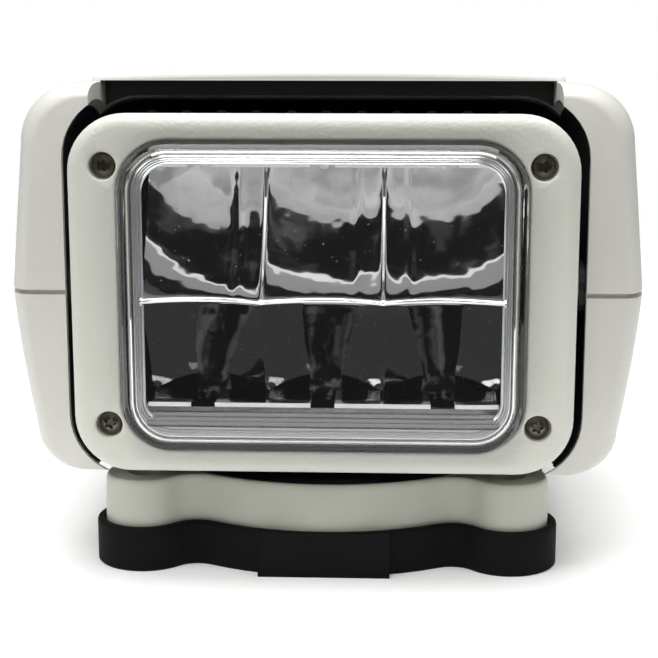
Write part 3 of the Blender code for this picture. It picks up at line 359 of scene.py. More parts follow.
DRUM_WHITE_PAINTED_SHADE = white_finish("moulded_white_base_painted_shade", PAINTED_SHADE_DRUM_TONE, PAINTED_SHADE_DRUM_MOTTLE, 0.8, 0.04, 0.44)
levels = [(0.0, BASE_BOTTOM), (WALL_DRAFT, BASE_TOP - BASE_ROUND - SHOULDER_DROP)]
for angle in range(0, 91, 15):
    bend = math.radians(angle)
    inset = SHOULDER_IN + ROUND_IN * (1 - math.cos(bend))
    levels.append((inset, BASE_TOP - BASE_ROUND * (1 - math.sin(bend))))
drum = skin([[(x, y, z) for x, y in lobed_outline(inset)] for inset, z in levels])
recess, ledge_radius = TABLE_RADIUS + RUN, CAVITY_RADIUS - LEDGE_WIDE
cut(drum, turned([(0, BASE_BOTTOM - PAST), (CAVITY_RADIUS, BASE_BOTTOM - PAST),
                  (CAVITY_RADIUS, LEDGE - LEDGE_THICK), (ledge_radius, LEDGE - LEDGE_THICK),
                  (ledge_radius, LEDGE), (recess, LEDGE),
                  (recess, BASE_TOP + PAST), (0, BASE_TOP + PAST)]))
seat = BASE_TOP - HEAD_DEPTH
for x, y in LOBES:
    cut(drum, turned([(0, BASE_TOP + PAST), (HEAD_HOLE, BASE_TOP + PAST), (HEAD_HOLE, seat),
                      (DECK_HOLE, seat), (DECK_HOLE, 0), (0, 0)], (x, y, 0), steps=40))
hand_over("base_drum", drum, DRUM_WHITE_PAINTED_SHADE, "moulded_white", "base", "base_housing")


# Base plate, its screws and the cable gland
# A cast plate closes the drum from below on four stainless screws. The gland and its nut
# are black nylon; the gland clamps the cable where it leaves through the deck.


def metal_finish(name, colour, roughness, streak, vary):
    """Bare metal with fine machining streaks along one axis."""
    metal = Finish(name, colour, Metallic=1.0, Roughness=roughness)
    stretch = metal.node("ShaderNodeMapping", {}, {"Vector": metal.place, "Scale": streak}, out="Vector")
    values = {"Vector": stretch, "Scale": 1 / (1.2 * MM), "Detail": 4.0}
    lines = metal.node("ShaderNodeTexNoise", {}, values, out="Fac")
    metal.feed("Roughness", roughness - vary / 2 + lines * vary)
    metal.bumps(lines, 0.01, 0.5)
    return metal.material


def nylon_finish(name, colour, roughness):
    """Moulded engineering plastic with a faint flow mark and a dry surface."""
    nylon = Finish(name, colour, Roughness=roughness)
    flow = nylon.noise(6.0, 3.0)
    dark = tuple(0.88 * share for share in colour)
    nylon.feed("Base Color", nylon.blend(flow, dark, colour))
    nylon.feed("Roughness", roughness - 0.05 + nylon.noise(0.5, 2.0) * 0.1)
    nylon.bumps(nylon.noise(0.4, 3.0), 0.02, 0.5)
    return nylon.material


CAST = metal_finish("cast_aluminium", (0.5, 0.5, 0.5), 0.5, (1, 1, 1), 0.2)
STEEL = metal_finish("stainless_steel", (0.6, 0.6, 0.6), 0.28, (1, 1, 12), 0.16)
BLACK_NYLON = nylon_finish("moulded_black", (0.014, 0.014, 0.015), 0.5)
dress(CAST, "base_plate")
dress(STEEL, *(f"base_plate_screw_{k}" for k in range(1, 5)))
dress(BLACK_NYLON, "cable_gland", "cable_gland_nut")


# Pan bearing and slip ring
# The turntable's hub turns in a flanged bronze bush. Round the bush's boss sits the fixed
# nylon gear that the pan pinion climbs, and a rubber ring seals the turntable's edge.

BRONZE = metal_finish("bearing_bronze", (0.45, 0.3, 0.14), 0.35, (1, 1, 20), 0.15)
NATURAL_NYLON = nylon_finish("gear_nylon", (0.75, 0.74, 0.68), 0.45)
dress(BRONZE, "pan_bush")
dress(NATURAL_NYLON, "pan_ring_gear", "slip_ring_stator", "slip_ring_rotor")
dress(RUBBER, "pan_seal")


# Turntable
# A black moulded disc, seen as a dark crescent between the base and the yoke. It carries
# the pedestal that both shells stand on, which stops short of the swinging head.

SHELL_BOTTOM = 32.6
PEDESTAL_RADIUS, PEDESTAL_FRONT = 60.0, -36.0
HUB_RADIUS, HUB_BORE, HUB_FOOT = 20.0, 16.5, 18.3
TABLE_CHAMFER, TABLE_ROUND, TABLE_BEND = 0.4, 0.7, 0.2
TABLE_CUT, TABLE_CUT_TOP = 90, 60
PAN_MESH, PINION_CLEAR = 45.0, 11.1
table_low, pedestal_top = BASE_TOP - TABLE_THICK, SHELL_BOTTOM - GAP
table = turned([(HUB_BORE, HUB_FOOT), (HUB_RADIUS, HUB_FOOT), (HUB_RADIUS, table_low),
                (TABLE_RADIUS - TABLE_CHAMFER, table_low), (TABLE_RADIUS, table_low + TABLE_CHAMFER),
                (TABLE_RADIUS, BASE_TOP - TABLE_ROUND), (TABLE_RADIUS - TABLE_BEND, BASE_TOP - TABLE_BEND),
                (TABLE_RADIUS - TABLE_ROUND, BASE_TOP), (PEDESTAL_RADIUS, BASE_TOP),
                (PEDESTAL_RADIUS, pedestal_top), (HUB_BORE, pedestal_top)])
cut(table, block((-TABLE_CUT, -TABLE_CUT, BASE_TOP), (TABLE_CUT, PEDESTAL_FRONT, TABLE_CUT_TOP)))
cut(table, rod(PINION_CLEAR, 0, TABLE_CUT_TOP, (0, PAN_MESH, 0)))
hand_over("turntable_disc", table, BLACK_NYLON, "moulded_black", "yoke", "turntable")


# Lower shell
# The lower half of the white yoke is a moulded tray. Its pods rise beside the head, and a
# tongue on its rim enters the upper shell, so that a shaded groove shows between the two.

SEAM_Z, SEAM_GAP = 92.4, 1.6
SHELL_HALF, SHELL_HALF_TOP, SHELL_HALF_LOW = 102.5, 98.2, 96.0
SHELL_TOP, SHELL_FRONT, SHELL_REAR, SHELL_WALL = 159.5, -71.0, 92.5, 2.6
TOP_CORNER, LOW_CORNER, CORNER_SHARE, CROWN, SIDE_BULGE = 18.2, 13.5, 0.8, 1.4, 0.7
FRONT_ROUND, SIDE_INSET, TOP_INSET, LOW_INSET = 15.0, 6.5, 3.8, 1.0
WIDE_FADE, TALL_FADE, DEEP_FADE = (18, 0.42, 2.5), (10, 0.30, 2.3), (66, 0.40, 2.2)
ROOF_FALL, ROOF_FALL_MOST, ROOF_BEND, HOOD_BACK, HOOD_MOUTH = 4.0, 6.4, 18, -40.0, 74.0
MOUTH_LOW, GUARD_LOW, OUTSIDE = 110, 120, 200
TONGUE_TOP, TONGUE_FOOT, TONGUE_INSET, TONGUE_WALL = 3.0, 1.2, 1.5, 1.0
TILT_Y, TILT_Z = -59.0, 93.5
WELL_RADIUS, WELL_HALF, WELL_CORNER, LINER_WALL = 63.0, 83.0, 20.0, 1.7
LOWER_WHITE = (0.72, 0.715, 0.67)


def fade(y, start, least, power):
    """1 before start, then falling on a super-ellipse to least at the rear."""
    reach = min(max(y - start, 0.0) / (SHELL_REAR - start), 1.0)
    return least + (1 - least) * (1 - reach ** power) ** (1 / power)


def shell_sizes(y):
    """Half widths at seam, roof and floor, and the roof's and floor's heights."""
    front = max(0.0, min(1.0, (SHELL_FRONT + FRONT_ROUND - y) / FRONT_ROUND))
    pull = 1 - math.sqrt(max(0.0, 1 - front ** 2))
    wide = fade(y, *WIDE_FADE)
    tall = fade(y, *TALL_FADE)
    deep = fade(y, *DEEP_FADE)
    fall = ROOF_FALL * max(0.0, y - HOOD_BACK) / (ROOF_BEND - HOOD_BACK)
    roof = SHELL_TOP - min(fall, ROOF_FALL_MOST) - TOP_INSET * pull
    top = SEAM_Z + (roof - SEAM_Z) * tall
    floor = SEAM_Z - (SEAM_Z - SHELL_BOTTOM) * deep + LOW_INSET * pull
    side = SIDE_INSET * pull
    return SHELL_HALF * wide - side, SHELL_HALF_TOP * wide - side, SHELL_HALF_LOW * wide - side, top, floor


def shell_ring(y, inset, at):
    """One cross-section of the shells, pulled in by the inset."""
    seam, roof_half, low_half, top, floor = shell_sizes(y)
    seam, roof_half, low_half = seam - inset, roof_half - inset, low_half - inset
    top, floor = top - inset, floor + inset
    upper = min(TOP_CORNER - inset, CORNER_SHARE * (top - SEAM_Z), CORNER_SHARE * roof_half)
    lower = min(LOW_CORNER - inset, CORNER_SHARE * (SEAM_Z - floor), CORNER_SHARE * low_half)
    side = [(0.5 * (low_half - lower), floor)] + arc((low_half - lower, floor + lower), lower, -90, 0, 10)
    for share in (0.25, 0.5, 0.75):
        bulge = SIDE_BULGE * 4 * share * (1 - share)
        reach = low_half + (seam - low_half) * share + bulge
        side.append((reach, floor + lower + (SEAM_Z - floor - lower) * share))
    side.append((seam, SEAM_Z))
    side += arc((roof_half - upper, top - CROWN - upper), upper, 0, 90, 12)
    for share in (0.75, 0.5, 0.25):
        side.append((share * (roof_half - upper), top - CROWN * share ** 2))
    outline = side + [(0, top)] + [(-x, z) for x, z in reversed(side)] + [(0, floor)]
    return [(x, at, z) for x, z in outline]


def shell_stations():
    front = [SHELL_FRONT + FRONT_ROUND * (1 - math.sin(math.radians(a))) for a in range(90, -1, -10)]
    middle = [HOOD_BACK - 4, -20, 0, 10, 18, 25, 32, 39, 45, 51, 57, 62, 66, 70, 74, 78]
    return front + middle + [81, 84, 86.5, 88.5, 90, 91.2, 92, SHELL_REAR]


def shell_body(inset=0.0):
    """The whole yoke form, or with an inset the hollow inside it."""
    middle = (SHELL_FRONT + SHELL_REAR) / 2
    shrink = 1 - 2 * inset / (SHELL_REAR - SHELL_FRONT)
    return skin([shell_ring(y, inset, middle + (y - middle) * shrink) for y in shell_stations()])


def seam_outline(inset):
    middle = (SHELL_FRONT + SHELL_REAR) / 2
    shrink = 1 - 2 * inset / (SHELL_REAR - SHELL_FRONT)
    side = [(shell_sizes(y)[0] - inset, middle + (y - middle) * shrink) for y in shell_stations()]
    return side + [(-x, y) for x, y in reversed(side)]


def well_body(grow=0.0):
    """The space that the head sweeps, turned about the tilt axis."""
    radius, half, corner = WELL_RADIUS + grow, WELL_HALF + grow, WELL_CORNER + grow
    bend = [math.radians(angle) for angle in range(90, -1, -9)]
    side = [(radius - corner + corner * math.sin(a), half - corner + corner * math.cos(a)) for a in bend]
    profile = [(0, half)] + side[::-1] + [(r, -x) for r, x in side] + [(0, -half)]
    return turned(profile, (0, TILT_Y, TILT_Z), "X")


def liner_pocket():
    """Room for the black liner behind the pods' front faces."""
    pocket = well_body(LINER_WALL + GAP)
    guard, above = HOOD_MOUTH + SHELL_WALL, 1.5 * OUTSIDE
    cut(pocket, block((-guard, -OUTSIDE, GUARD_LOW), (guard, HOOD_BACK + SHELL_WALL, above)))
    cut(pocket, block((-OUTSIDE, -OUTSIDE, 0), (OUTSIDE, SHELL_FRONT + SHELL_WALL, above)))
    return cut(pocket, block((-OUTSIDE, -OUTSIDE, SHELL_TOP - SHELL_WALL), (OUTSIDE, OUTSIDE, above)))


SHELL_WHITE = white_finish("moulded_white_shell", LOWER_WHITE, (0.69, 0.68, 0.63), 0.7, 0.018, 0.4)
lower = cut(shell_body(), shell_body(SHELL_WALL))
cut(lower, block((-OUTSIDE, -OUTSIDE, SEAM_Z - SEAM_GAP / 2), (OUTSIDE, OUTSIDE, 2 * OUTSIDE)))
tongue = pushed(seam_outline(TONGUE_INSET), SEAM_Z - SEAM_GAP - TONGUE_FOOT, SEAM_Z + TONGUE_TOP)
cut(tongue, pushed(seam_outline(TONGUE_INSET + TONGUE_WALL), 0, OUTSIDE))
join(lower, tongue)
cut(lower, rod(HUB_BORE, 0, TABLE_CUT_TOP), rod(PINION_CLEAR, 0, TABLE_CUT_TOP, (0, PAN_MESH, 0)))
cut(lower, well_body(), liner_pocket())
hand_over("yoke_lower_shell", lower, SHELL_WHITE, "moulded_white", "yoke", "lower_shell")


# Upper shell
# The upper half carries the roof and the hood, whose raised panel runs forward over the
# head as a thin lip. Its rim has the groove that takes the lower shell's tongue.

HOOD_HALF, HOOD_FRONT, HOOD_RISE, HOOD_UNDER, HOOD_REAR = 77.0, -49.0, 2.4, 158.7, 66.0
HOOD_NOSE = [(0.0, 2.8), (0.35, 1.7), (0.7, 0.9), (1.1, 0.35), (1.8, 0.0)]
HOOD_STATIONS = [0.02, 0.1, 0.18, 0.28, 0.4, 0.5, 0.6, 0.7, 0.8, 0.9, 1.0]
PANEL_TAPER, PANEL_SINK, PANEL_DEEP, PANEL_ROUND, NOSE_IN = 20, 0.6, 9, 2, 0.3


def hood_panel():
    """The raised panel, its nose rolled down at the front and its edges rounded."""
    rings = []
    nose = [(back / (HOOD_REAR - HOOD_FRONT), drop) for back, drop in HOOD_NOSE]
    for share, drop in nose + [(share, 0.0) for share in HOOD_STATIONS]:
        y = HOOD_FRONT + (HOOD_REAR - HOOD_FRONT) * share
        top = shell_sizes(y)[3] + HOOD_RISE * (1 - share ** 3) - PANEL_SINK * share - drop
        half = (HOOD_HALF - PANEL_TAPER * share ** 3) * fade(y, *WIDE_FADE) - NOSE_IN * drop
        bend = (half - PANEL_ROUND, top - CROWN - PANEL_ROUND)
        side = [(half, top - PANEL_DEEP)] + arc(bend, PANEL_ROUND, 0, 90, 8)
        for part in (0.75, 0.5, 0.25):
            side.append((part * half, top - CROWN * part ** 2))
        outline = side + [(0, top)] + [(-x, z) for x, z in reversed(side)]
        rings.append([(x, y, z) for x, z in outline])
    return skin(rings)


upper = join(shell_body(), hood_panel())
hollow = shell_body(SHELL_WALL)
guard = HOOD_MOUTH + SHELL_WALL
cut(hollow, block((-guard, -OUTSIDE, GUARD_LOW), (guard, HOOD_BACK + SHELL_WALL, 2 * OUTSIDE)))
cut(upper, hollow, block((-OUTSIDE, -OUTSIDE, -OUTSIDE / 2), (OUTSIDE, OUTSIDE, SEAM_Z + SEAM_GAP / 2)))
cut(upper, pushed(seam_outline(TONGUE_INSET - GAP), 0, SEAM_Z + TONGUE_TOP + GAP))
cut(upper, well_body(), liner_pocket())
lip_back = HOOD_FRONT + GAP
mouth = [(-OUTSIDE, MOUTH_LOW), (HOOD_BACK, MOUTH_LOW), (HOOD_BACK, HOOD_UNDER), (lip_back, HOOD_UNDER),
         (lip_back, 2 * OUTSIDE), (-OUTSIDE, 2 * OUTSIDE)]
cut(upper, pushed(mouth, -HOOD_MOUTH, HOOD_MOUTH, "X"))
hand_over("yoke_upper_shell", upper, SHELL_WHITE, "moulded_white", "yoke", "upper_shell")
# Faces of the mouth's back wall under the hood lip take black nylon: painted shade for the shadow under the
# hood.
upper.data.materials.append(BLACK_NYLON)
for face in upper.data.polygons:
    at, facing = face.center / MM, face.normal
    in_mouth = abs(at.x) < HOOD_MOUTH and at.z > GUARD_LOW
    if in_mouth and facing.y < -0.7 and abs(at.y - HOOD_BACK) < 0.5:
        face.material_index = 1


# Head well, bushes and shell screws
# A black liner closes the pods and the body towards the head, so the gap round the bezel
# reads dark. Each tilt shaft runs in a black flanged bush set in the liner.

dress(BLACK_NYLON, "head_well_liner", "tilt_bush_left", "tilt_bush_right")
dress(STEEL, *(f"shell_screw_{k}" for k in range(1, 5)))


# Pan and tilt drives and control board
# Two geared motors in steel cans, nylon gears on a steel side plate, a brass pan pinion and
# a green circuit board stand inside the shells.

BRASS = metal_finish("gear_brass", (0.7, 0.52, 0.25), 0.3, (1, 1, 15), 0.15)
BOARD = nylon_finish("circuit_board", (0.03, 0.16, 0.07), 0.4)
dress(STEEL, "pan_motor", "pan_motor_bracket", "tilt_motor", "tilt_gear_plate", "axle_left", "axle_right")
dress(BRASS, "pan_pinion")
dress(NATURAL_NYLON, "tilt_idler_front", "tilt_idler_rear", "tilt_pinion", "tilt_sector")
dress(BOARD, "control_board")


# Head housing
# A black anodised casting with a finned half drum, which sheds the heat of the LED boards and
# turns with the head inside the well.


def anodised_finish():
    """Black anodised casting: a dry, faintly sandy skin with a paler bloom on it."""
    black = Finish("coated_casting", (0.02, 0.02, 0.022), Metallic=0.6, Roughness=0.5)
    bloom = ((black.noise(9.0, 4.0) - 0.4) * 2.0).clipped()
    black.feed("Base Color", black.blend(bloom, (0.014, 0.014, 0.015), (0.035, 0.035, 0.037)))
    black.feed("Roughness", 0.42 + black.noise(0.6, 3.0) * 0.2)
    black.bumps(black.noise(0.35, 3.0), 0.04, 0.6)
    return black.material


dress(anodised_finish(), "head_housing")


# Reflector
# One moulded block, vacuum-metallised, with six half paraboloids. The upper row's axes lie
# along the block's top edge and the lower row's along its bottom edge, so both rows sweep
# forward to the ridge where they meet. A stepped bright skirt fills the border of the lens,
# and a stepped ledge stands in front of the lower cups.

COLUMNS = 3
CELL_HALF_X, BLOCK_HALF_Z = 18.9, 41.4
UPPER_AXIS, LOWER_AXIS, RIDGE, CUP_VERTEX, CUP_FOCUS = 42.0, -45.0, -1.5, -52.0, 17.0
ARRAY_BACK = -50.0
RIDGE_ROUND, RIDGE_FRONT = 0.4, -84.4
WELT_PLACE, WELT_HALF, WELT_HEIGHT = 10.5, 1.7, 0.07
block_half_x = COLUMNS * CELL_HALF_X


def rounded(half_x, half_z, corner, steps=12, centre=(0.0, TILT_Z)):
    points = []
    for k, (side_x, side_z) in enumerate(((1, 1), (-1, 1), (-1, -1), (1, -1))):
        middle = (centre[0] + side_x * (half_x - corner), centre[1] + side_z * (half_z - corner))
        points += arc(middle, corner, 90 * k, 90 * k + 90, steps)
    return points


def chrome_finish(name, level, gloss=0.025):
    """Vacuum-metallised plastic: a mirror with a slight orange peel and a few dust specks."""
    chrome = Finish(name, (level, level, level), Metallic=1.0, Roughness=gloss)
    specks = ((chrome.noise(0.9, 1.0) - 0.74) * 14.0).clipped()
    chrome.feed("Roughness", gloss + specks * 0.4)
    chrome.bumps(chrome.noise(8.0, 1.0), 0.05)
    return chrome.material


def cup_depth(x, up):
    """Where the mirror lies behind a point of the block's front view, its ridges a little rounded."""
    middle = 2 * CELL_HALF_X * max(-1, min(1, round(x / (2 * CELL_HALF_X))))
    across = abs(x - middle)
    if abs(x) < 2 * CELL_HALF_X:
        across = CELL_HALF_X - math.hypot(CELL_HALF_X - across, RIDGE_ROUND)
    along = (UPPER_AXIS - LOWER_AXIS) / 2 - math.hypot(up - RIDGE, RIDGE_ROUND)
    welt = 0.0
    if up > RIDGE:
        place = WELT_PLACE if x < CELL_HALF_X else -WELT_PLACE
        welt = WELT_HEIGHT * math.exp(-((x - middle - place) / WELT_HALF) ** 2)
    return max(CUP_VERTEX - (across ** 2 + along ** 2) / (4 * CUP_FOCUS) - welt, RIDGE_FRONT)


CHROME = chrome_finish("reflector_chrome", 0.93)
SKIRT_CHROME = chrome_finish("skirt_chrome", 0.95, 0.3)
DULL_CHROME = chrome_finish("dull_chrome", 0.3, 0.1)
bm = bmesh.new()
bmesh.ops.create_grid(bm, x_segments=252, y_segments=184, size=1.0)
for vert in bm.verts:
    x, up = vert.co.x * block_half_x, vert.co.y * BLOCK_HALF_Z
    vert.co = (x, cup_depth(x, up), TILT_Z + up)
rim = bmesh.ops.extrude_edge_only(bm, edges=[edge for edge in bm.edges if edge.is_boundary])
for item in rim["geom"]:
    if isinstance(item, bmesh.types.BMVert):
        item.co.y = ARRAY_BACK
bmesh.ops.contextual_create(bm, geom=[edge for edge in bm.edges if edge.is_boundary])
hand_over("reflector_cups", as_shape(bm), CHROME, "reflector_chrome", "head", "reflector_array", crease=40)

# Half width, half height, corner and depth of each ring of the skirt, from inside to outside.
skirt = [
    (55.6, 41.2, 9.0, -82.7), (55.6, 41.2, 9.0, -83.2), (56.0, 41.6, 9.3, -83.5),
    (56.5, 42.1, 9.7, -83.2), (56.9, 42.5, 10.0, -83.7), (57.5, 43.1, 10.5, -83.3),
    (57.9, 43.5, 10.9, -83.9), (58.6, 44.2, 11.6, -83.5), (59.0, 44.6, 11.9, -84.2),
    (59.8, 45.4, 12.6, -83.9), (59.8, 45.4, 12.7, -79.2), (59.3, 44.9, 12.3, -79.2),
    (59.2, 44.8, 12.2, -82.7),
]
rings = [[(x, y, z) for x, z in rounded(half_x, half_z, corner)] for half_x, half_z, corner, y in skirt]
hand_over("reflector_skirt", skin(rings, closed=True), SKIRT_CHROME, "reflector_chrome", "head", crease=30)
ledge = [(-81.7, -41.2), (-81.7, -35.2), (-82.1, -36.6), (-82.35, -36.45), (-82.5, -36.7), (-82.9, -38.0),
         (-83.2, -37.85), (-83.35, -38.1), (-83.75, -39.4), (-84.05, -39.25), (-84.2, -39.5), (-84.6, -41.2)]
hand_over("reflector_ledge", pushed([(y, TILT_Z + up) for y, up in ledge], -55.4, 55.4, "X"), DULL_CHROME,
          "reflector_chrome", "head", crease=30)


# LED boards and emitters
# Two black boards close the half cups above and below, each with a printed white line near
# its front edge. Six ceramic LEDs under silicone domes face into the cups between bright
# strips. What a cup shows is a magnified view of the board beside its LED.
# The boards' print, bare edge and blotches, the LEDs and the white rails glow a little: painted light.

PRINT_FRONT, PRINT_BACK = -75.25, -74.95
STRIP_FRONT, STRIP_BACK, RAIL_BACK, NOTCH_HALF, PLATE_HALF = -81.6, -58.6, -80.8, 3.8, 9.0
LED_Y, LED_HALF, LED_FRONT, LED_BASE, LED_TOP, DOME_RADIUS = -69.0, 2.6, -71.4, 41.3, 39.9, 1.7


def board_finish():
    """Black solder mask, a thin printed line and a bare grey edge in front of it; the line, the edge and
    faint blotches on the mask glow, which is painted light.
    """
    mask = Finish("led_board_mask", (0.01, 0.01, 0.011), Roughness=0.7, Specular_IOR_Level=0.1,
                  Emission_Strength=1.0)
    split = mask.node("ShaderNodeSeparateXYZ", {}, {"Vector": mask.place}, out="Y")
    uneven = split + (mask.noise(3.0, 2.0) - 0.5) * 0.0003
    before = ((PRINT_BACK * MM - uneven) * 20000.0).clipped()
    beyond = ((PRINT_FRONT * MM - uneven) * 20000.0).clipped()
    printed = before - beyond
    bare = mask.blend(beyond, (0.012, 0.012, 0.013), (0.42, 0.42, 0.42))
    mask.feed("Base Color", mask.blend(printed, bare, (0.9, 0.9, 0.9)))
    # Blotches of faint glow on the mask: painted reflections in the dark middle of the cups.
    glow_blotch = ((mask.noise(1.6, 2.0) - 0.5) * 3.0).clipped()
    faint = mask.blend(beyond, mask.blend(glow_blotch, (0.0, 0.0, 0.0), (0.12, 0.12, 0.12)), (0.17, 0.17, 0.17))
    # The print, the bare edge and the blotches glow: painted light.
    mask.feed("Emission Color", mask.blend(printed, faint, (0.6, 0.6, 0.6)))
    mask.feed("Roughness", 0.6 + mask.noise(0.6, 3.0) * 0.2)
    return mask.material


def ceramic_finish():
    """Pale grey LED ceramic with a silicone gloss; it glows a little though the LED is off, which is painted
    light.
    """
    ceramic = Finish("led_ceramic", (0.7, 0.7, 0.68), Roughness=0.4, Emission_Strength=1.0)
    mottle_and_glow = ((ceramic.noise(1.4, 2.0) - 0.3) * 2.5).clipped()
    ceramic.feed("Base Color", ceramic.blend(mottle_and_glow, (0.55, 0.55, 0.53), (0.8, 0.8, 0.78)))
    # The unlit ceramic glows: painted light.
    ceramic.feed("Emission Color", ceramic.blend(mottle_and_glow, (0.2, 0.2, 0.2), (0.36, 0.36, 0.36)))
    return ceramic.material


dress(board_finish(), "led_board_upper", "led_board_lower")
LED_CERAMIC = ceramic_finish()
RAIL_GLOWING_WHITE = nylon_finish("rail_white_painted_glow", (0.9, 0.9, 0.9), 0.3)
# The rails glow a little: painted light, so that they stay bright in the cups' mirrors.
RAIL_GLOWING_WHITE.node_tree.nodes["Principled BSDF"].inputs["Emission Color"].default_value = (1.0, 1.0, 1.0, 1.0)
RAIL_GLOWING_WHITE.node_tree.nodes["Principled BSDF"].inputs["Emission Strength"].default_value = 0.35
led = 0
for column in (-1, 0, 1):
    for side in (-1, 1):
        led += 1
        x = 2 * CELL_HALF_X * column
        low, high = sorted((TILT_Z + side * LED_BASE, TILT_Z + side * LED_TOP))
        package = block((x - LED_HALF, LED_FRONT, low), (x + LED_HALF, 2 * LED_Y - LED_FRONT, high))
        dome = [(DOME_RADIUS * math.cos(math.radians(a)), side * (LED_TOP - 1.5 * math.sin(math.radians(a))))
                for a in range(0, 91, 15)]
        bulb = turned([(0, side * (LED_TOP + 0.3)), (DOME_RADIUS, side * (LED_TOP + 0.3))] + dome,
                      (x, LED_Y, TILT_Z), "Z", 32)
        hand_over(f"led_package_{led}", package, LED_CERAMIC, "led_phosphor", "head", f"led_emitter_{led}")
        hand_over(f"led_dome_{led}", bulb, LED_CERAMIC, "led_phosphor", "head")


def between(half):
    """The stretches of a strip between gaps of that half width in front of the three cups."""
    edges = [-block_half_x + 1.6]
    for column in (-1, 0, 1):
        edges += [2 * CELL_HALF_X * column - half, 2 * CELL_HALF_X * column + half]
    edges.append(block_half_x - 1.6)
    return list(zip(edges[::2], edges[1::2]))


upper_low, upper_high = TILT_Z + 40.2, TILT_Z + BLOCK_HALF_Z
rails = [block((near, STRIP_FRONT, upper_low), (far, RAIL_BACK, upper_high))
         for near, far in between(NOTCH_HALF)]
hand_over("led_rail_upper", join(*rails), RAIL_GLOWING_WHITE, "reflector_chrome", "head")
plates = [block((near, RAIL_BACK + 0.1, upper_low + 0.8), (far, STRIP_BACK, upper_high))
          for near, far in between(PLATE_HALF)]
hand_over("led_strips_upper", join(*plates), CHROME, "reflector_chrome", "head")
lower_low, lower_high = TILT_Z - BLOCK_HALF_Z, TILT_Z - 34.0
steps = []
for near, far in between(NOTCH_HALF):
    profile = [(STRIP_BACK, lower_low), (STRIP_BACK, lower_high - 1.2), (STRIP_BACK - 1.5, lower_high - 0.3),
               (RAIL_BACK + 0.1, lower_high - 0.5), (RAIL_BACK + 0.1, lower_low)]
    steps.append(pushed(profile, near, far, "X"))
bars = [block((near, STRIP_FRONT, lower_low), (far, RAIL_BACK, lower_high))
        for near, far in between(NOTCH_HALF)]
hand_over("led_rail_lower", join(*bars), RAIL_GLOWING_WHITE, "reflector_chrome", "head")
hand_over("led_strips_lower", join(*steps), DULL_CHROME, "reflector_chrome", "head")


# Lens and its gasket
# A thick clear polycarbonate cover with a rounded rim that stands proud of the bezel. Its
# flange is clamped behind the bezel on a gasket of pale silicone.

LENS_HALF_X, LENS_HALF_Z, LENS_CORNER = 63.2, 48.8, 16.0
LENS_FRONT, LENS_BACK, LENS_WALL = -92.5, -80.2, 3.0


def lens_ring(inset, y):
    outline = rounded(LENS_HALF_X - inset, LENS_HALF_Z - inset, max(LENS_CORNER - inset, 2))
    return [(x, y, z) for x, z in outline]


def clear_finish():
    clear = Finish("clear_lens", (0.97, 0.98, 0.98), Roughness=0.02, IOR=1.45, Transmission_Weight=1.0)
    clear.bumps(clear.noise(18.0, 2.0), 0.02)
    return clear.material


CLEAR = clear_finish()
rim = [(4.6, 0.0), (3.4, 0.15), (2.4, 0.6), (1.6, 1.3), (1.0, 2.3), (0.6, 3.4), (0.3, 4.8), (0.0, 6.3)]
rings = [lens_ring(inset, LENS_FRONT + back) for inset, back in rim]
rings += [lens_ring(0.0, LENS_BACK), lens_ring(LENS_WALL, LENS_BACK)]
inner = [(0.0, 6.4), (0.3, 5.2), (0.9, 4.2), (1.8, 3.4), (3.0, 3.05), (4.0, LENS_WALL)]
rings += [lens_ring(LENS_WALL + inset, LENS_FRONT + back) for inset, back in inner]
hand_over("lens_cover", skin(rings), CLEAR, "clear_lens", "head", "lens", crease=50)
dress(nylon_finish("pale_silicone", (0.62, 0.62, 0.6), 0.35), "lens_gasket")


# Bezel
# A white moulded frame with a leather-like grain and a generous round along its outer edge.
# Four pan-head screws in round recesses hold it to the housing.

HEAD_HALF_X, HEAD_HALF_Z, HEAD_CORNER = 78.8, 56.6, 18.0
HEAD_FRONT, BEZEL_BACK, BEZEL_EDGE = -86.0, -71.0, 4.4
BEZEL_WALL, BEZEL_FACE = 3.0, 3.0
SCREW_X, SCREW_Z, SCREW_RECESS, SCREW_HOLE, SCREW_FLOOR = 67.4, 40.8, 4.3, 2.2, -81.5
SCREWS = [(side_x * SCREW_X, TILT_Z + side_z * SCREW_Z) for side_x in (-1, 1) for side_z in (-1, 1)]


def bezel_ring(inset, y):
    outline = rounded(HEAD_HALF_X - inset, HEAD_HALF_Z - inset, max(HEAD_CORNER - inset, 2.0))
    return [(x, y, z) for x, z in outline]


def opening_ring(grow, y):
    outline = rounded(LENS_HALF_X + grow, LENS_HALF_Z + grow, LENS_CORNER + grow)
    return [(x, y, z) for x, z in outline]


BEZEL_WHITE = white_finish("moulded_white_bezel", (0.72, 0.72, 0.655), (0.69, 0.69, 0.62), 1.2, 0.13, 0.42)
rings = [bezel_ring(BEZEL_WALL, BEZEL_BACK), bezel_ring(0.6, BEZEL_BACK),
         bezel_ring(0.05, HEAD_FRONT + BEZEL_EDGE + 1)]
for angle in range(0, 91, 10):
    bend = math.radians(angle)
    inset = BEZEL_EDGE * (1 - math.cos(bend))
    rings.append(bezel_ring(inset, HEAD_FRONT + BEZEL_EDGE * (1 - math.sin(bend))))
for angle in range(90, -1, -30):
    bend = math.radians(angle)
    rings.append(opening_ring(0.3 + 0.7 * (1 - math.cos(bend)), HEAD_FRONT + 0.7 * (1 - math.sin(bend))))
rings += [opening_ring(0.3, HEAD_FRONT + BEZEL_FACE), bezel_ring(BEZEL_WALL, HEAD_FRONT + BEZEL_FACE)]
bezel = skin(rings, closed=True)
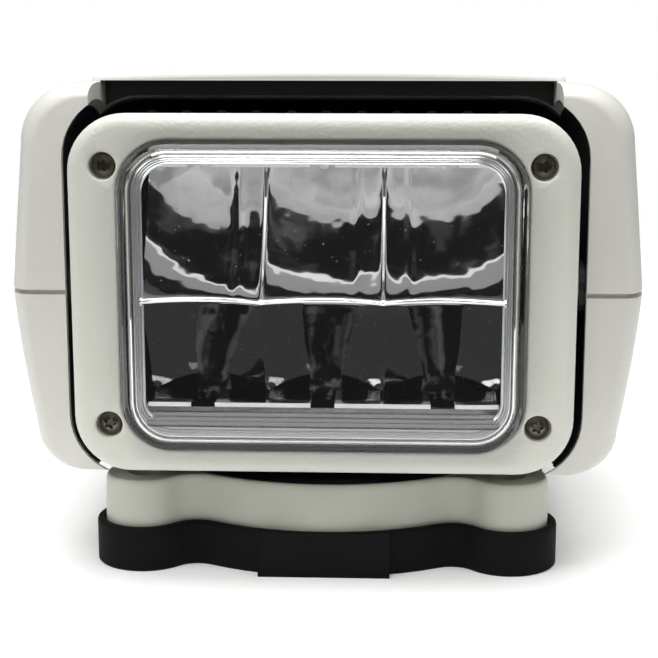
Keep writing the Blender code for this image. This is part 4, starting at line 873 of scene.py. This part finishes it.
for x, z in SCREWS:
    join(bezel, rod(SCREW_RECESS + 1.2, SCREW_FLOOR - 3, SCREW_FLOOR + 5, (x, 0, z), "Y"))
    cut(bezel, turned([(0, HEAD_FRONT - PAST), (SCREW_RECESS + 0.8, HEAD_FRONT - PAST),
                       (SCREW_RECESS + 0.5, HEAD_FRONT), (SCREW_RECESS + 0.15, HEAD_FRONT + 0.2),
                       (SCREW_RECESS, HEAD_FRONT + 0.5), (SCREW_RECESS, SCREW_FLOOR),
                       (SCREW_HOLE, SCREW_FLOOR), (SCREW_HOLE, 0), (0, 0)], (x, 0, z), "Y", 56))
hand_over("bezel_frame", bezel, BEZEL_WHITE, "moulded_white", "head", "bezel")


# Bezel screws
# Four dark bronze-coloured steel screws with pan heads and a five-lobed socket clamp the
# bezel to the head housing.

DARK_SCREW = metal_finish("dark_screw", (0.13, 0.12, 0.095), 0.3, (1, 1, 1), 0.15)
HEAD_RADIUS, HEAD_SIDE, HEAD_DOME, SHANK_RADIUS, SHANK_END = 3.7, 0.7, 1.7, 1.9, -69
SOCKET_RADIUS, SOCKET_LOBE = 1.55, 0.42


def star(centre, radius, depth, lobes=5):
    """Outline of a socket with round lobes."""
    points = []
    for k in range(12 * lobes):
        angle = 2 * math.pi * k / (12 * lobes)
        reach = radius + depth * math.cos(lobes * angle)
        points.append((centre[0] + reach * math.cos(angle), centre[1] + reach * math.sin(angle)))
    return points


seat = SCREW_FLOOR - GAP
for k, (x, z) in enumerate(SCREWS):
    bends = [math.radians(angle) for angle in range(0, 91, 9)]
    dome = [(HEAD_RADIUS * math.sin(bend), seat - HEAD_SIDE - HEAD_DOME * math.cos(bend)) for bend in bends]
    shank = [(HEAD_RADIUS, seat), (SHANK_RADIUS, seat), (SHANK_RADIUS, SHANK_END), (0, SHANK_END)]
    head = turned(dome + shank, (x, 0, z), "Y", 56)
    cut(head, pushed(star((x, z), SOCKET_RADIUS, SOCKET_LOBE), seat - 6, seat - 1.0, "Y"))
    hand_over(f"bezel_screw_head_{k + 1}", head, DARK_SCREW, "dark_screw", "head", f"bezel_screw_{k + 1}")


# Studio
# A pale floor under soft lights, and the camera at the photograph's angle. The sky is white
# to the camera and dim to everything else.


def soft_light(name, place, aim, size, power):
    lamp = bpy.data.lights.new(name, "AREA")
    lamp.shape = "RECTANGLE"
    lamp.size, lamp.size_y = size
    lamp.energy = power
    holder = bpy.data.objects.new(name, lamp)
    holder.location = place
    holder.rotation_euler = (Vector(aim) - Vector(place)).to_track_quat("-Z", "Y").to_euler()
    bpy.context.scene.collection.objects.link(holder)


floor_bm = bmesh.new()
bmesh.ops.create_grid(floor_bm, x_segments=1, y_segments=1, size=0.48)
bmesh.ops.translate(floor_bm, verts=floor_bm.verts, vec=(0, 0.22, 0))
floor = as_shape(floor_bm)
floor.name = "studio_floor"
floor_paper = Finish("studio_floor", (0.93, 0.93, 0.93), Roughness=0.9, Emission_Strength=0.15)
floor_paper.shader.inputs["Emission Color"].default_value = (1.0, 1.0, 1.0, 1.0)
floor.data.materials.append(floor_paper.material)

AIM = (0.0, -0.03, 0.09)
soft_light("overhead_softbox", (0.0, 0.1, 1.1), (0.0, 0.1, 0.0), (1.2, 1.0), 16)
soft_light("left_softbox", (-0.8, -0.55, 0.8), AIM, (0.4, 0.7), 3.5)
soft_light("right_softbox", (0.8, -0.55, 0.8), AIM, (0.4, 0.7), 1.9)
soft_light("front_softbox", (-0.15, -0.75, 1.2), AIM, (0.6, 0.3), 4.8)
soft_light("fill_softbox", (0.0, -1.5, 0.75), AIM, (0.9, 0.4), 0.8)

world = bpy.data.worlds.new("studio")
world.use_nodes = True
backdrop = world.node_tree.nodes["Background"]
backdrop.inputs["Color"].default_value = (1.0, 1.0, 1.0, 1.0)
seen = world.node_tree.nodes.new("ShaderNodeLightPath")
level = world.node_tree.nodes.new("ShaderNodeMapRange")
level.inputs["To Min"].default_value = 0.11
level.inputs["To Max"].default_value = 1.0
world.node_tree.links.new(seen.outputs["Is Camera Ray"], level.inputs["Value"])
world.node_tree.links.new(level.outputs["Result"], backdrop.inputs["Strength"])
bpy.context.scene.world = world
bpy.context.scene.view_settings.view_transform = "Standard"

CAMERA_PLACE, CAMERA_PITCH, CAMERA_YAW = (0.0217, -0.553, 0.1786), 11.42, 2.4
FOCAL_PIXELS, FRAME_PIXELS, SENSOR = 1540, 658, 36.0
camera_data = bpy.data.cameras.new("camera")
camera_data.sensor_width = SENSOR
camera_data.lens = FOCAL_PIXELS / FRAME_PIXELS * SENSOR
camera_data.clip_start = 0.01
camera = bpy.data.objects.new("camera", camera_data)
camera.location = CAMERA_PLACE
camera.rotation_euler = (math.radians(90 - CAMERA_PITCH), 0, math.radians(CAMERA_YAW))
bpy.context.scene.collection.objects.link(camera)
bpy.context.scene.camera = camera
